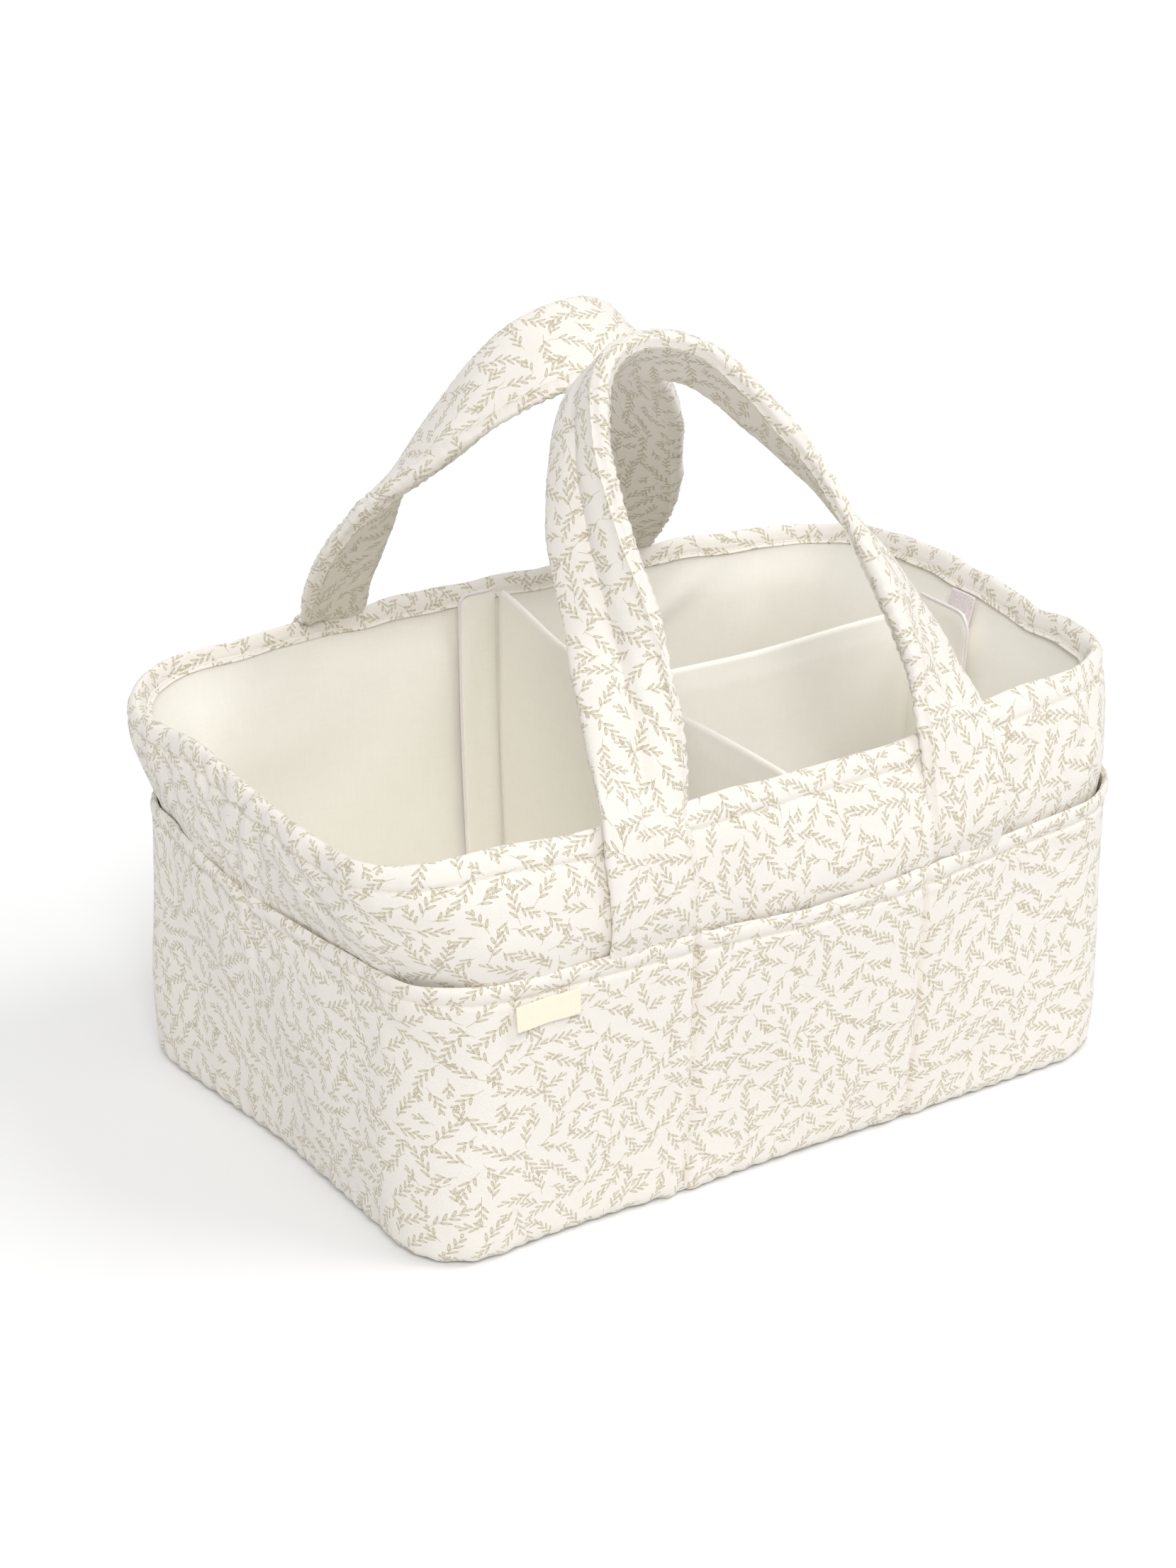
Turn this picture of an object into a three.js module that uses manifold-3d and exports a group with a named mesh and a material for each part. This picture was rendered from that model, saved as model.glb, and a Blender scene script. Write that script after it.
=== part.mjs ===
// A soft diaper caddy: an open padded basket with pockets all round, two carrying
// straps that swing, and a T-shaped divider insert that lifts out.
// Millimetres, +Z up. The origin is the centre of the underside, X runs along the
// long side, and the front with the label faces -Y.
import * as THREE from 'three';
import { mergeVertices } from 'three/addons/utils/BufferGeometryUtils.js';
import Module from 'manifold-3d';

const wasm = await Module();
wasm.setup();

// Clearance between pieces that touch, and how far a cutter runs past a face
const touchGap = 0.3;
const cutOverrun = 2;

// Basket outline at the foot, over the outside of the pockets
const baseLength = 374;
const baseDepth = 266;
const cornerRadius = 34;

// The same outline carried up to the rim, where the ends flare out, the corners
// pull in and the long sides bow out between them
const rimHeight = 192;
const rimLength = 410;
const rimDepth = 248;
const rimBow = 12;
const flarePower = 3;

// Layers of the walls, from the outside in
const pocketThickness = 3;
const wrapThickness = 3;
const boardThickness = 4.5;
const liningThickness = 1.5;

// Layers of the floor, from the bottom up
const footThickness = 3;
const footRoll = 3;
const baseBoardThickness = 3;
const floorLiningThickness = 1.5;

// Wadding in the wrap: how far it swells at the pocket hem
const longSidePuff = 7;
const endPuff = 2;

// Pockets
const hemHeight = 134;
const pocketSeam = 62;
const middlePocketGape = 12;
const cornerPocketGape = 10;

// Printed facing folded over the rim
const facingTop = 2.5;
const facingDrop = 11;
const facingThickness = 1.5;

// Carrying straps
const strapWidth = 44;
const strapThickness = 7;
const strapCover = 1.2;
const coreSlack = 1.8;
const strapEndLift = 1;
const twistLength = 155;
const archShares = [
  { across: 1, up: 0 },
  { across: 1, up: 0.06 },
  { across: 0.975, up: 0.22 },
  { across: 0.89, up: 0.42 },
  { across: 0.76, up: 0.62 },
  { across: 0.53, up: 0.82 },
  { across: 0.27, up: 0.95 },
  { across: 0, up: 1 },
];
const frontHandleHeight = 197;
const frontHandleDrift = -14;
const frontLeanDegrees = 34;
const backHandleHeight = 186;
const backHandleDrift = 8;
const backLeanDegrees = 35;

// Label tab sewn under the hem of the left front pocket
const labelWidth = 29;
const labelHeight = 12.5;
const labelThickness = 1;
const labelBelowHem = 13;
const labelFromSeam = 57;

// Divider insert
const crossDividerX = 8;
const longDividerY = 10;
const dividerBelowRim = 12;
const dividerBoard = 2;
const dividerCover = 1.2;
const dividerCorner = 8;
const dividerHem = 6;
const flapThickness = 2;
const flapWidth = 20;
const endFlapWidth = 40;
const flapCorner = 9;

// Hook and loop tapes that hold the insert
const tapeThickness = 1.5;
const tapeWidth = 18;
const tapeLength = 100;
const tapeFoot = 50;

// Number of flat steps along each stretch
const pocketParts = 5;
const endParts = 4;
const cornerParts = 4;
const patchParts = 4;
const archParts = 38;
const strapFaceParts = 4;
const edgeParts = 3;
const innerEdgeParts = 2;
const tabCornerParts = 4;
const innerLayerParts = 3;
const rollParts = 3;
const labelParts = 2;
const belowHemShares = [0, 0.2, 0.56, 1];
const aboveHemShares = [0.25, 0.55, 0.82, 1];

// Distance of each layer's two faces inside the outline of the pockets
const wrapOuter = pocketThickness + touchGap;
const wrapInner = wrapOuter + wrapThickness;
const boardOuter = wrapInner + touchGap;
const boardInner = boardOuter + boardThickness;
const liningOuter = boardInner + touchGap;
const liningInner = liningOuter + liningThickness;
const facingOuter = liningInner + touchGap;
const facingInner = facingOuter + facingThickness;
const strapInner = wrapOuter - touchGap;
const strapOuter = strapInner - strapThickness;
const loopOuter = liningInner + touchGap;
const loopInner = loopOuter + tapeThickness;
const hookOuter = loopInner + touchGap;
const hookInner = hookOuter + tapeThickness;
const flapOuter = hookInner + touchGap;
const flapInner = flapOuter + flapThickness;
const dividerEnd = flapInner + touchGap;

// Heights worked out from the layers
const wallFoot = footThickness + touchGap;
const baseBoardTop = wallFoot + baseBoardThickness;
const floorLiningFoot = baseBoardTop + touchGap;
const floorLiningTop = floorLiningFoot + floorLiningThickness;
const liningFoot = floorLiningTop + touchGap;
const boardTop = rimHeight - facingTop - touchGap;
const dividerFoot = floorLiningTop + touchGap;
const dividerTop = rimHeight - dividerBelowRim;
const dividerThickness = 2 * dividerCover + 2 * touchGap + dividerBoard;
const halfLength = baseLength / 2;
const halfDepth = baseDepth / 2;
const straightX = halfLength - cornerRadius;
const straightY = halfDepth - cornerRadius;
const strapCentre = pocketSeam + strapWidth / 2;
const handles = [
  {
    name: 'front_handle',
    side: -1,
    height: frontHandleHeight,
    drift: frontHandleDrift,
    leanDegrees: frontLeanDegrees,
  },
  {
    name: 'back_handle',
    side: 1,
    height: backHandleHeight,
    drift: backHandleDrift,
    leanDegrees: backLeanDegrees,
  },
];

// Finishes, each a colour with its roughness
const printedCotton = { color: 0xf1ecdd, roughness: 0.92 };
const creamCotton = { color: 0xefead9, roughness: 0.9 };
const labelCotton = { color: 0xf6efd6, roughness: 0.85 };
const tapeNylon = { color: 0xece6e2, roughness: 0.95 };
const boardPlastic = { color: 0xd9d6cc, roughness: 0.6 };
const paddingFoam = { color: 0xf2f0ea, roughness: 0.95 };

const caddy = new THREE.Group();

function addPiece(name, geometry, finish) {
  const material = new THREE.MeshStandardMaterial({ ...finish, metalness: 0 });
  const mesh = new THREE.Mesh(geometry, material);
  mesh.name = name;
  caddy.add(mesh);
  return mesh;
}

function clamp01(value) {
  return Math.min(1, Math.max(0, value));
}

// Even steps from one value to another, both ends included
function stepsBetween(from, to, parts) {
  return Array.from({ length: parts + 1 }, (_, k) => from + ((to - from) * k) / parts);
}

function heightsBetween(low, high, shares) {
  return shares.map((share) => low + (high - low) * share);
}

// Booleans on closed meshes

function toSolid(geometry) {
  const plain = geometry.clone();
  plain.deleteAttribute('normal');
  plain.deleteAttribute('uv');
  const merged = mergeVertices(plain);
  return new wasm.Manifold(
    new wasm.Mesh({
      numProp: 3,
      vertProperties: new Float32Array(merged.attributes.position.array),
      triVerts: new Uint32Array(merged.index.array),
    }),
  );
}

function toGeometry(solid) {
  const mesh = solid.getMesh();
  const geometry = new THREE.BufferGeometry();
  geometry.setAttribute('position', new THREE.BufferAttribute(mesh.vertProperties, 3));
  geometry.setIndex(new THREE.BufferAttribute(mesh.triVerts, 1));
  return geometry;
}

function cutFrom(body, cutter) {
  return toGeometry(toSolid(body).subtract(toSolid(cutter)));
}

// Moves every vertex of a geometry by a function of its place and number
function reshape(geometry, form) {
  const position = geometry.attributes.position;
  const point = new THREE.Vector3();
  for (let k = 0; k < position.count; k += 1) {
    point.fromBufferAttribute(position, k);
    form(point, k);
    position.setXYZ(k, point.x, point.y, point.z);
  }
  return geometry;
}

// The basket's form: pieces are laid out upright on the foot's outline and then
// leaned, bowed and puffed together, so that the layers stay nested

// Outward direction at a place in the walls, and its distance inside the outline
function wallPlace(x, y) {
  const beyondX = Math.abs(x) - straightX;
  const beyondY = Math.abs(y) - straightY;
  const sideX = Math.sign(x) || 1;
  const sideY = Math.sign(y) || 1;
  if (beyondX > 0 && beyondY > 0) {
    const reach = Math.hypot(beyondX, beyondY);
    return {
      outX: (sideX * beyondX) / reach,
      outY: (sideY * beyondY) / reach,
      inset: cornerRadius - reach,
    };
  }
  if (beyondX > beyondY) {
    return { outX: sideX, outY: 0, inset: cornerRadius - beyondX };
  }
  return { outX: 0, outY: sideY, inset: cornerRadius - beyondY };
}

// Fullness of the wadding by height: none at the foot and the rim, most at the hem
function fullness(z) {
  if (z < hemHeight) {
    return Math.sin((Math.PI / 2) * clamp01(z / hemHeight));
  }
  return Math.cos((Math.PI / 2) * clamp01((z - hemHeight) / (rimHeight - hemHeight)));
}

function basketForm(point) {
  const { outX, outY, inset } = wallPlace(point.x, point.y);
  const rise = point.z / rimHeight;
  const along = Math.min(1, Math.abs(point.x) / halfLength);
  const puff = longSidePuff * outY * outY + endPuff * outX * outX;
  const swell = puff * fullness(point.z) * clamp01((wrapInner - inset) / wrapThickness);
  const flare = ((rimLength - baseLength) / 2) * along ** flarePower;
  const depthAtRim = rimDepth / 2 + rimBow * (1 - along * along);
  const leanY = 1 + rise * (depthAtRim / halfDepth - 1);
  point.x += Math.sign(point.x) * flare * rise + outX * swell;
  point.y = point.y * leanY + outY * swell;
  return point;
}

// How far a pocket stands off the wall at its hem: nothing at the seams beside the
// middle pocket and at the tack in the middle of each end
function gapeAt(x, y) {
  if (Math.abs(x) < pocketSeam) {
    return middlePocketGape * (1 - (x / pocketSeam) ** 2);
  }
  const beyondX = Math.abs(x) - straightX;
  const beyondY = Math.max(0, Math.abs(y) - straightY);
  const turn = beyondX > 0 ? Math.atan2(beyondX, beyondY) : 0;
  const alongSide = Math.min(Math.abs(x), straightX) - pocketSeam;
  const alongEnd = straightY - Math.min(Math.abs(y), straightY);
  const fromSeam = alongSide + cornerRadius * turn + alongEnd;
  const whole = straightX - pocketSeam + (cornerRadius * Math.PI) / 2 + straightY;
  return cornerPocketGape * (1 - ((2 * fromSeam) / whole - 1) ** 2);
}

// Forms a pocket, or a piece sewn on it, and stands it off the wall
function pocketForm(point) {
  const { outX, outY } = wallPlace(point.x, point.y);
  const off = gapeAt(point.x, point.y) * fullness(point.z);
  basketForm(point);
  point.x += outX * off;
  point.y += outY * off;
}

// Flat patterns

// Points of the rounded outline at a distance inside it, from the front's left end
// and round through the right end, the back and the left end
function outlinePoints(inset) {
  const radius = cornerRadius - inset;
  const frontX = [
    ...stepsBetween(-straightX, -pocketSeam, pocketParts),
    ...stepsBetween(-pocketSeam, pocketSeam, pocketParts).slice(1),
    ...stepsBetween(pocketSeam, straightX, pocketParts).slice(1),
  ];
  const endY = stepsBetween(-straightY, straightY, endParts);
  const corner = (signX, signY, start) =>
    stepsBetween(start, start + Math.PI / 2, cornerParts)
      .slice(1, -1)
      .map(
        (angle) =>
          new THREE.Vector2(
            signX * straightX + radius * Math.cos(angle),
            signY * straightY + radius * Math.sin(angle),
          ),
      );
  return [
    ...frontX.map((x) => new THREE.Vector2(x, inset - halfDepth)),
    ...corner(1, -1, -Math.PI / 2),
    ...endY.map((y) => new THREE.Vector2(halfLength - inset, y)),
    ...corner(1, 1, 0),
    ...frontX.map((x) => new THREE.Vector2(-x, halfDepth - inset)),
    ...corner(-1, 1, Math.PI / 2),
    ...endY.map((y) => new THREE.Vector2(inset - halfLength, -y)),
    ...corner(-1, -1, Math.PI),
  ];
}

// Where each side starts and ends in the list of outline points
const longParts = 3 * pocketParts;
const sideSpans = {
  front: [0, longParts],
  right: [longParts + cornerParts, longParts + cornerParts + endParts],
};
const halfTurnPoints = longParts + endParts + 2 * cornerParts;
sideSpans.back = sideSpans.front.map((k) => k + halfTurnPoints);
sideSpans.left = sideSpans.right.map((k) => k + halfTurnPoints);
sideSpans.rightEnd = [sideSpans.front[1], sideSpans.back[0]];
sideSpans.leftEnd = [sideSpans.back[1], 2 * halfTurnPoints];

// One stretch of the outline at an inset, and a short one on the front or back wall,
// both with the outside on the right hand
function stretch(inset, [first, last]) {
  const points = outlinePoints(inset);
  return [...points, points[0]].slice(first, last + 1);
}

function patchStretch(side, fromX, toX, inset) {
  const places = stepsBetween(fromX, toX, patchParts);
  const ordered = side < 0 ? places : places.reverse();
  return ordered.map((x) => new THREE.Vector2(x, side * (halfDepth - inset)));
}

// A strip of wall: a box with a step along it for every point of its outer and inner
// stretch, and one upward for every height
function wallStrip(outer, inner, heights) {
  const parts = outer.length - 1;
  const rows = heights.length - 1;
  const box = new THREE.BoxGeometry(parts, rows, 1, parts, rows, 1);
  return reshape(box, (point) => {
    const rail = point.z > 0 ? outer : inner;
    const place = rail[Math.round(point.x + parts / 2)];
    point.set(place.x, place.y, heights[Math.round(point.y + rows / 2)]);
  });
}

// A closed ring of wall: its section of insets and heights, which starts up the
// outside, is turned about an axis, and every spoke goes to its point of the outline
function wallRing(section) {
  const closed = [...section, section[0]];
  const rails = closed.map(([inset]) => outlinePoints(inset));
  const spokes = rails[0].length;
  const profile = closed.map(([inset, z]) => new THREE.Vector2(halfDepth - inset, z));
  const turned = new THREE.LatheGeometry(profile, spokes);
  return reshape(turned, (point, k) => {
    const corner = k % closed.length;
    const place = rails[corner][Math.floor(k / closed.length) % spokes];
    point.set(place.x, place.y, closed[corner][1]);
  });
}

// Section of a plain wall between two insets
function wallSection(outer, inner, heights) {
  const up = heights.map((z) => [outer, z]);
  const down = heights.map((z) => [inner, z]).reverse();
  return [...up, ...down];
}

// Extrudes a plan upward through a list of heights
function raise(shape, heights) {
  const steps = heights.length - 1;
  const geometry = new THREE.ExtrudeGeometry(shape, { depth: steps, steps, bevelEnabled: false });
  return reshape(geometry, (point) => {
    point.z = heights[Math.round(point.z)];
  });
}

// An upright plate: an outline of across and height, as thick as asked along +Z
// before it is turned upright
function uprightPlate(shape, thickness) {
  const geometry = new THREE.ExtrudeGeometry(shape, {
    depth: thickness,
    bevelEnabled: false,
    curveSegments: tabCornerParts,
  });
  return geometry.rotateX(Math.PI / 2);
}

// A rectangle with its two upper corners rounded
function tabShape(fromX, toX, low, high, leftRadius, rightRadius) {
  const shape = new THREE.Shape();
  shape.moveTo(fromX, low);
  shape.lineTo(toX, low);
  shape.lineTo(toX, high - rightRadius);
  if (rightRadius > 0) {
    shape.absarc(toX - rightRadius, high - rightRadius, rightRadius, 0, Math.PI / 2, false);
  }
  shape.lineTo(fromX + leftRadius, high);
  if (leftRadius > 0) {
    shape.absarc(fromX + leftRadius, high - leftRadius, leftRadius, Math.PI / 2, Math.PI, false);
  }
  shape.closePath();
  return shape;
}

// Walls and floor

const pocketHeights = heightsBetween(wallFoot, hemHeight, belowHemShares);
const upperHeights = heightsBetween(hemHeight, rimHeight, aboveHemShares);

function makeWalls() {
  const wrap = wallRing(wallSection(wrapOuter, wrapInner, [...pocketHeights, ...upperHeights]));
  addPiece('outer_wall', reshape(wrap, basketForm), printedCotton);
  for (const side of ['front', 'back', 'left', 'right']) {
    const outer = stretch(boardOuter, sideSpans[side]);
    const inner = stretch(boardInner, sideSpans[side]);
    const board = wallStrip(outer, inner, stepsBetween(wallFoot, boardTop, innerLayerParts));
    addPiece(`stiffener_${side}`, reshape(board, basketForm), boardPlastic);
  }
  const liningHeights = stepsBetween(liningFoot, boardTop, innerLayerParts);
  const lining = wallRing(wallSection(liningOuter, liningInner, liningHeights));
  addPiece('lining_wall', reshape(lining, basketForm), creamCotton);
}

// Facing: a flat top over the boards and lining, and a leg down the inside
function makeFacing() {
  const webFoot = rimHeight - facingTop;
  const facing = wallRing([
    [boardOuter, webFoot],
    [boardOuter, rimHeight],
    [facingInner, rimHeight],
    [facingInner, rimHeight - facingDrop],
    [facingOuter, rimHeight - facingDrop],
    [facingOuter, webFoot],
  ]);
  addPiece('rim_facing', reshape(facing, basketForm), printedCotton);
}

function makeFloor() {
  const rollHeights = stepsBetween(0, footThickness, rollParts);
  const foot = raise(new THREE.Shape(outlinePoints(0)), rollHeights);
  reshape(foot, (point) => {
    const drawn = footRoll * (1 - point.z / footThickness) ** 2;
    const { outX, outY } = wallPlace(point.x, point.y);
    point.x -= outX * drawn;
    point.y -= outY * drawn;
  });
  addPiece('outer_base', reshape(foot, basketForm), printedCotton);
  const plan = new THREE.Shape(outlinePoints(liningOuter));
  addPiece('base_board', reshape(raise(plan, [wallFoot, baseBoardTop]), basketForm), boardPlastic);
  const cloth = raise(plan, [floorLiningFoot, floorLiningTop]);
  addPiece('lining_floor', reshape(cloth, basketForm), creamCotton);
}

// Pockets: one cloth panel on each long side, sewn through twice, and one round
// each end, tacked down in its middle. They are sewn edge to edge, so that each
// corner has one pocket.

function makePockets() {
  const spans = {
    pocket_front: sideSpans.front,
    pocket_right: sideSpans.rightEnd,
    pocket_back: sideSpans.back,
    pocket_left: sideSpans.leftEnd,
  };
  for (const [name, span] of Object.entries(spans)) {
    const panel = wallStrip(stretch(0, span), stretch(pocketThickness, span), pocketHeights);
    addPiece(name, trimPanelEnds(reshape(panel, pocketForm), name), printedCotton);
  }
}

// Neighbouring panels meet at the corners' ends: the long ones give way a little
function trimPanelEnds(geometry, name) {
  if (name === 'pocket_left' || name === 'pocket_right') {
    return geometry;
  }
  const keep = straightX - touchGap;
  return reshape(geometry, (point) => {
    const grown = ((rimLength - baseLength) / 2) * (straightX / halfLength) ** flarePower;
    const limit = keep + (grown * point.z) / rimHeight;
    point.x = Math.max(-limit, Math.min(limit, point.x));
  });
}

function makeLabel() {
  const high = hemHeight - labelBelowHem;
  const from = -pocketSeam - labelFromSeam - labelWidth;
  const outer = patchStretch(-1, from, from + labelWidth, -touchGap - labelThickness);
  const inner = patchStretch(-1, from, from + labelWidth, -touchGap);
  const tab = wallStrip(outer, inner, stepsBetween(high - labelHeight, high, labelParts));
  addPiece('label_tab', reshape(tab, pocketForm), labelCotton);
}

// Carrying straps: sewn ends on the walls, and an arch that swings about the line
// along the outer face of its two sewn ends

function makeStrapEnds() {
  const foot = hemHeight + strapEndLift;
  const heights = [foot, ...upperHeights];
  for (const { name, side } of handles) {
    for (const [hand, sign] of [['left', -1], ['right', 1]]) {
      const from = sign * strapCentre - strapWidth / 2;
      const outer = patchStretch(side, from, from + strapWidth, strapOuter);
      const inner = patchStretch(side, from, from + strapWidth, strapInner);
      const end = reshape(wallStrip(outer, inner, heights), basketForm);
      addPiece(`${name.split('_')[0]}_strap_end_${hand}`, end, printedCotton);
    }
  }
}

// Centre line of an arch in its own plane: x across, y up from the hinge line
function archCurve({ height, drift, legStart }) {
  const half = archShares.map(({ across, up }) => ({
    x: across * strapCentre,
    y: legStart + up * (height - legStart),
    slide: up * up * drift,
  }));
  const left = half.map(({ x, y, slide }) => new THREE.Vector3(slide - x, y, 0));
  const right = half.slice(0, -1).reverse();
  const rest = right.map(({ x, y, slide }) => new THREE.Vector3(slide + x, y, 0));
  return new THREE.CatmullRomCurve3([...left, ...rest]);
}

// Section of a strap: two flat faces with round edges
function strapSection(width, thickness, roundParts) {
  const reach = (width - thickness) / 2;
  const roundEdge = (sign) =>
    stepsBetween(-Math.PI / 2, Math.PI / 2, roundParts).map(
      (angle) =>
        new THREE.Vector2(
          sign * (reach + (thickness / 2) * Math.cos(angle)),
          (sign * thickness * Math.sin(angle)) / 2,
        ),
    );
  const flatFace = (sign) =>
    stepsBetween(sign * reach, -sign * reach, strapFaceParts)
      .slice(1, -1)
      .map((x) => new THREE.Vector2(x, (sign * thickness) / 2));
  return new THREE.Shape([...roundEdge(1), ...flatFace(1), ...roundEdge(-1), ...flatFace(-1)]);
}

// Lays a straight strap along an arch. At its feet the strap lies flat against the
// wall, and by the twist length it has turned to lie across the arch.
function strapAlongArch(section, handle) {
  const curve = archCurve(handle);
  const length = curve.getLength();
  const lean = THREE.MathUtils.degToRad(handle.leanDegrees);
  const up = new THREE.Vector3(0, -handle.side * Math.sin(lean), Math.cos(lean));
  const out = new THREE.Vector3(0, handle.side * Math.cos(lean), Math.sin(lean));
  const hinge = new THREE.Vector3(0, handle.hingeY, rimHeight);
  const acrossWays = new THREE.Vector3(1, 0, 0);
  const strap = new THREE.ExtrudeGeometry(section, {
    depth: 1,
    steps: archParts,
    bevelEnabled: false,
  });
  const inPlane = (flat) =>
    new THREE.Vector3().addScaledVector(acrossWays, flat.x).addScaledVector(up, flat.y);
  return reshape(strap, (point) => {
    const share = clamp01(point.z);
    const centre = inPlane(curve.getPointAt(share)).add(hinge);
    const tangent = inPlane(curve.getTangentAt(share)).normalize();
    const crown = new THREE.Vector3().crossVectors(out, tangent);
    crown.multiplyScalar(-handle.side);
    const fromFoot = Math.min(share, 1 - share) * length;
    const turn = (Math.PI / 2) * THREE.MathUtils.smoothstep(fromFoot, 0, twistLength);
    const face = new THREE.Vector3()
      .addScaledVector(out, Math.cos(turn))
      .addScaledVector(crown, Math.sin(turn));
    const breadth = new THREE.Vector3().crossVectors(face, tangent);
    centre.addScaledVector(out, -strapThickness / 2);
    point.copy(centre.addScaledVector(breadth, point.x).addScaledVector(face, point.y));
  });
}

function makeHandles() {
  const coreWidth = strapWidth - 2 * strapCover;
  const coreThickness = strapThickness - 2 * strapCover;
  const coverSection = strapSection(strapWidth, strapThickness, edgeParts);
  coverSection.holes.push(strapSection(coreWidth, coreThickness, innerEdgeParts));
  const coreSection = strapSection(coreWidth - coreSlack, coreThickness - coreSlack, innerEdgeParts);
  for (const handle of handles) {
    const lean = THREE.MathUtils.degToRad(handle.leanDegrees);
    const legStart = (touchGap + strapThickness * Math.sin(lean)) / Math.cos(lean);
    const sewnFaceY = handle.side * (halfDepth - strapOuter);
    const hingeY = basketForm(new THREE.Vector3(strapCentre, sewnFaceY, rimHeight)).y;
    const placed = { ...handle, legStart, hingeY };
    addPiece(`${handle.name}_cover`, strapAlongArch(coverSection, placed), printedCotton);
    addPiece(`${handle.name}_core`, strapAlongArch(coreSection, placed), paddingFoam);
  }
}

// Divider insert: two cloth sleeves over boards, sewn in a T, with flaps that lie on
// the walls and hook tapes that grip the loop tapes sewn on the lining

// A sleeve and its board, standing in the XZ plane about y = 0
function makePanel(fromX, toX) {
  const sleeveShape = tabShape(fromX, toX, dividerFoot, dividerTop, dividerCorner, dividerCorner);
  const sleeve = uprightPlate(sleeveShape, dividerThickness);
  sleeve.translate(0, dividerThickness / 2, 0);
  const boardShape = (spare, foot) =>
    tabShape(
      fromX + dividerHem - spare,
      toX - dividerHem + spare,
      foot,
      dividerTop - dividerHem + spare,
      dividerCorner / 2,
      dividerCorner / 2,
    );
  const room = dividerBoard + 2 * touchGap;
  const space = uprightPlate(boardShape(touchGap, dividerFoot - cutOverrun), room);
  space.translate(0, room / 2, 0);
  const board = uprightPlate(boardShape(0, dividerFoot + touchGap), dividerBoard);
  board.translate(0, dividerBoard / 2, 0);
  return { cover: cutFrom(sleeve, space), board };
}

function makeDividers() {
  const reach = halfDepth - dividerEnd;
  const cross = makePanel(-reach, reach);
  for (const [part, finish] of [['cover', creamCotton], ['board', boardPlastic]]) {
    cross[part].rotateZ(Math.PI / 2).translate(crossDividerX, 0, 0);
    addPiece(`cross_divider_${part}`, reshape(cross[part], basketForm), finish);
  }
  const start = crossDividerX + dividerThickness / 2 + touchGap;
  const long = makePanel(start, halfLength - dividerEnd);
  for (const [part, finish] of [['cover', creamCotton], ['board', boardPlastic]]) {
    long[part].translate(0, longDividerY, 0);
    addPiece(`long_divider_${part}`, reshape(long[part], basketForm), finish);
  }
}

// Stands an upright plate at an inset inside a wall, which the turn chooses
function onWall(plate, thickness, outer, { turn, half }) {
  plate.translate(0, outer + thickness - half, 0);
  plate.rotateZ(turn);
  return reshape(plate, basketForm);
}

// Each flap by its wall, with its free edge and sewn edge along the plate
function flapPlaces() {
  const seamX = crossDividerX + dividerThickness / 2;
  const seamY = longDividerY + dividerThickness / 2;
  const width = flapWidth + dividerThickness;
  return [
    { side: 'front', turn: 0, half: halfDepth, from: seamX - width, to: seamX },
    { side: 'back', turn: Math.PI, half: halfDepth, from: -seamX, to: width - seamX },
    { side: 'right', turn: Math.PI / 2, half: halfLength, from: seamY - endFlapWidth, to: seamY },
  ];
}

function makeFastenings() {
  for (const place of flapPlaces()) {
    const { side, from, to } = place;
    const leftRadius = side === 'back' ? 0 : flapCorner;
    const rightRadius = flapCorner - leftRadius;
    const flap = tabShape(from, to, dividerFoot, dividerTop, leftRadius, rightRadius);
    const plate = uprightPlate(flap, flapThickness);
    addPiece(`${side}_flap`, onWall(plate, flapThickness, flapOuter, place), creamCotton);
    const tapeFrom = (from + to - tapeWidth) / 2;
    const tapeTop = tapeFoot + tapeLength;
    const tape = tabShape(tapeFrom, tapeFrom + tapeWidth, tapeFoot, tapeTop, 0, 0);
    for (const [kind, outer] of [['hook', hookOuter], ['loop', loopOuter]]) {
      const strip = uprightPlate(tape, tapeThickness);
      addPiece(`${kind}_tape_${side}`, onWall(strip, tapeThickness, outer, place), tapeNylon);
    }
  }
}

makeFloor();
makeWalls();
makeFacing();
makePockets();
makeLabel();
makeStrapEnds();
makeHandles();
makeDividers();
makeFastenings();

export default caddy;
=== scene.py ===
# %% [markdown]
# # A soft padded caddy, sewn piece by piece
# The caddy is a basket of printed cotton over stiff boards. Pockets run all round it,
# a plain lining fills it, a T-shaped divider lifts out of it, and two padded straps
# carry it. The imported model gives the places; here every cloth is cut flat, laid
# along the same form as the solids, and finished with its folds and stitches.

# %% The frame and the tools
import math

import bpy
import numpy as np
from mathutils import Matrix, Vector


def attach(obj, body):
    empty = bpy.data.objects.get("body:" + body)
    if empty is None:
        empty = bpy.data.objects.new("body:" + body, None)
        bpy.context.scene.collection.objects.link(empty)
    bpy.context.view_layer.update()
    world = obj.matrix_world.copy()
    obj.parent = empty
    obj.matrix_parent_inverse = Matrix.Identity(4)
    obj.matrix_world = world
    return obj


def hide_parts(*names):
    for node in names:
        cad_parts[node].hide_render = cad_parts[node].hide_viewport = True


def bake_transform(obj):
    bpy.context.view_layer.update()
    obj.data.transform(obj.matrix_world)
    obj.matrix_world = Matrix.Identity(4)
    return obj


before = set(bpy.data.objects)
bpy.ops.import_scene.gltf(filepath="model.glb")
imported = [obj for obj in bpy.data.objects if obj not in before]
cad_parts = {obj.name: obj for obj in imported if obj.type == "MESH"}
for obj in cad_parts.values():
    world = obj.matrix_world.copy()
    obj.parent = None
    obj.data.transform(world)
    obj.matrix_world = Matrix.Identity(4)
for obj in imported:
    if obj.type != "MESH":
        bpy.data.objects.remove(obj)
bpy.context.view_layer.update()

# %% [markdown]
# ## Sizes
# All lengths are in metres. The outline, rim, hem and seam are the driving sizes of the
# solids, and an inset is how deep inside the outline a layer lies, so that a cloth made
# here lies where its solid is.

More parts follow.
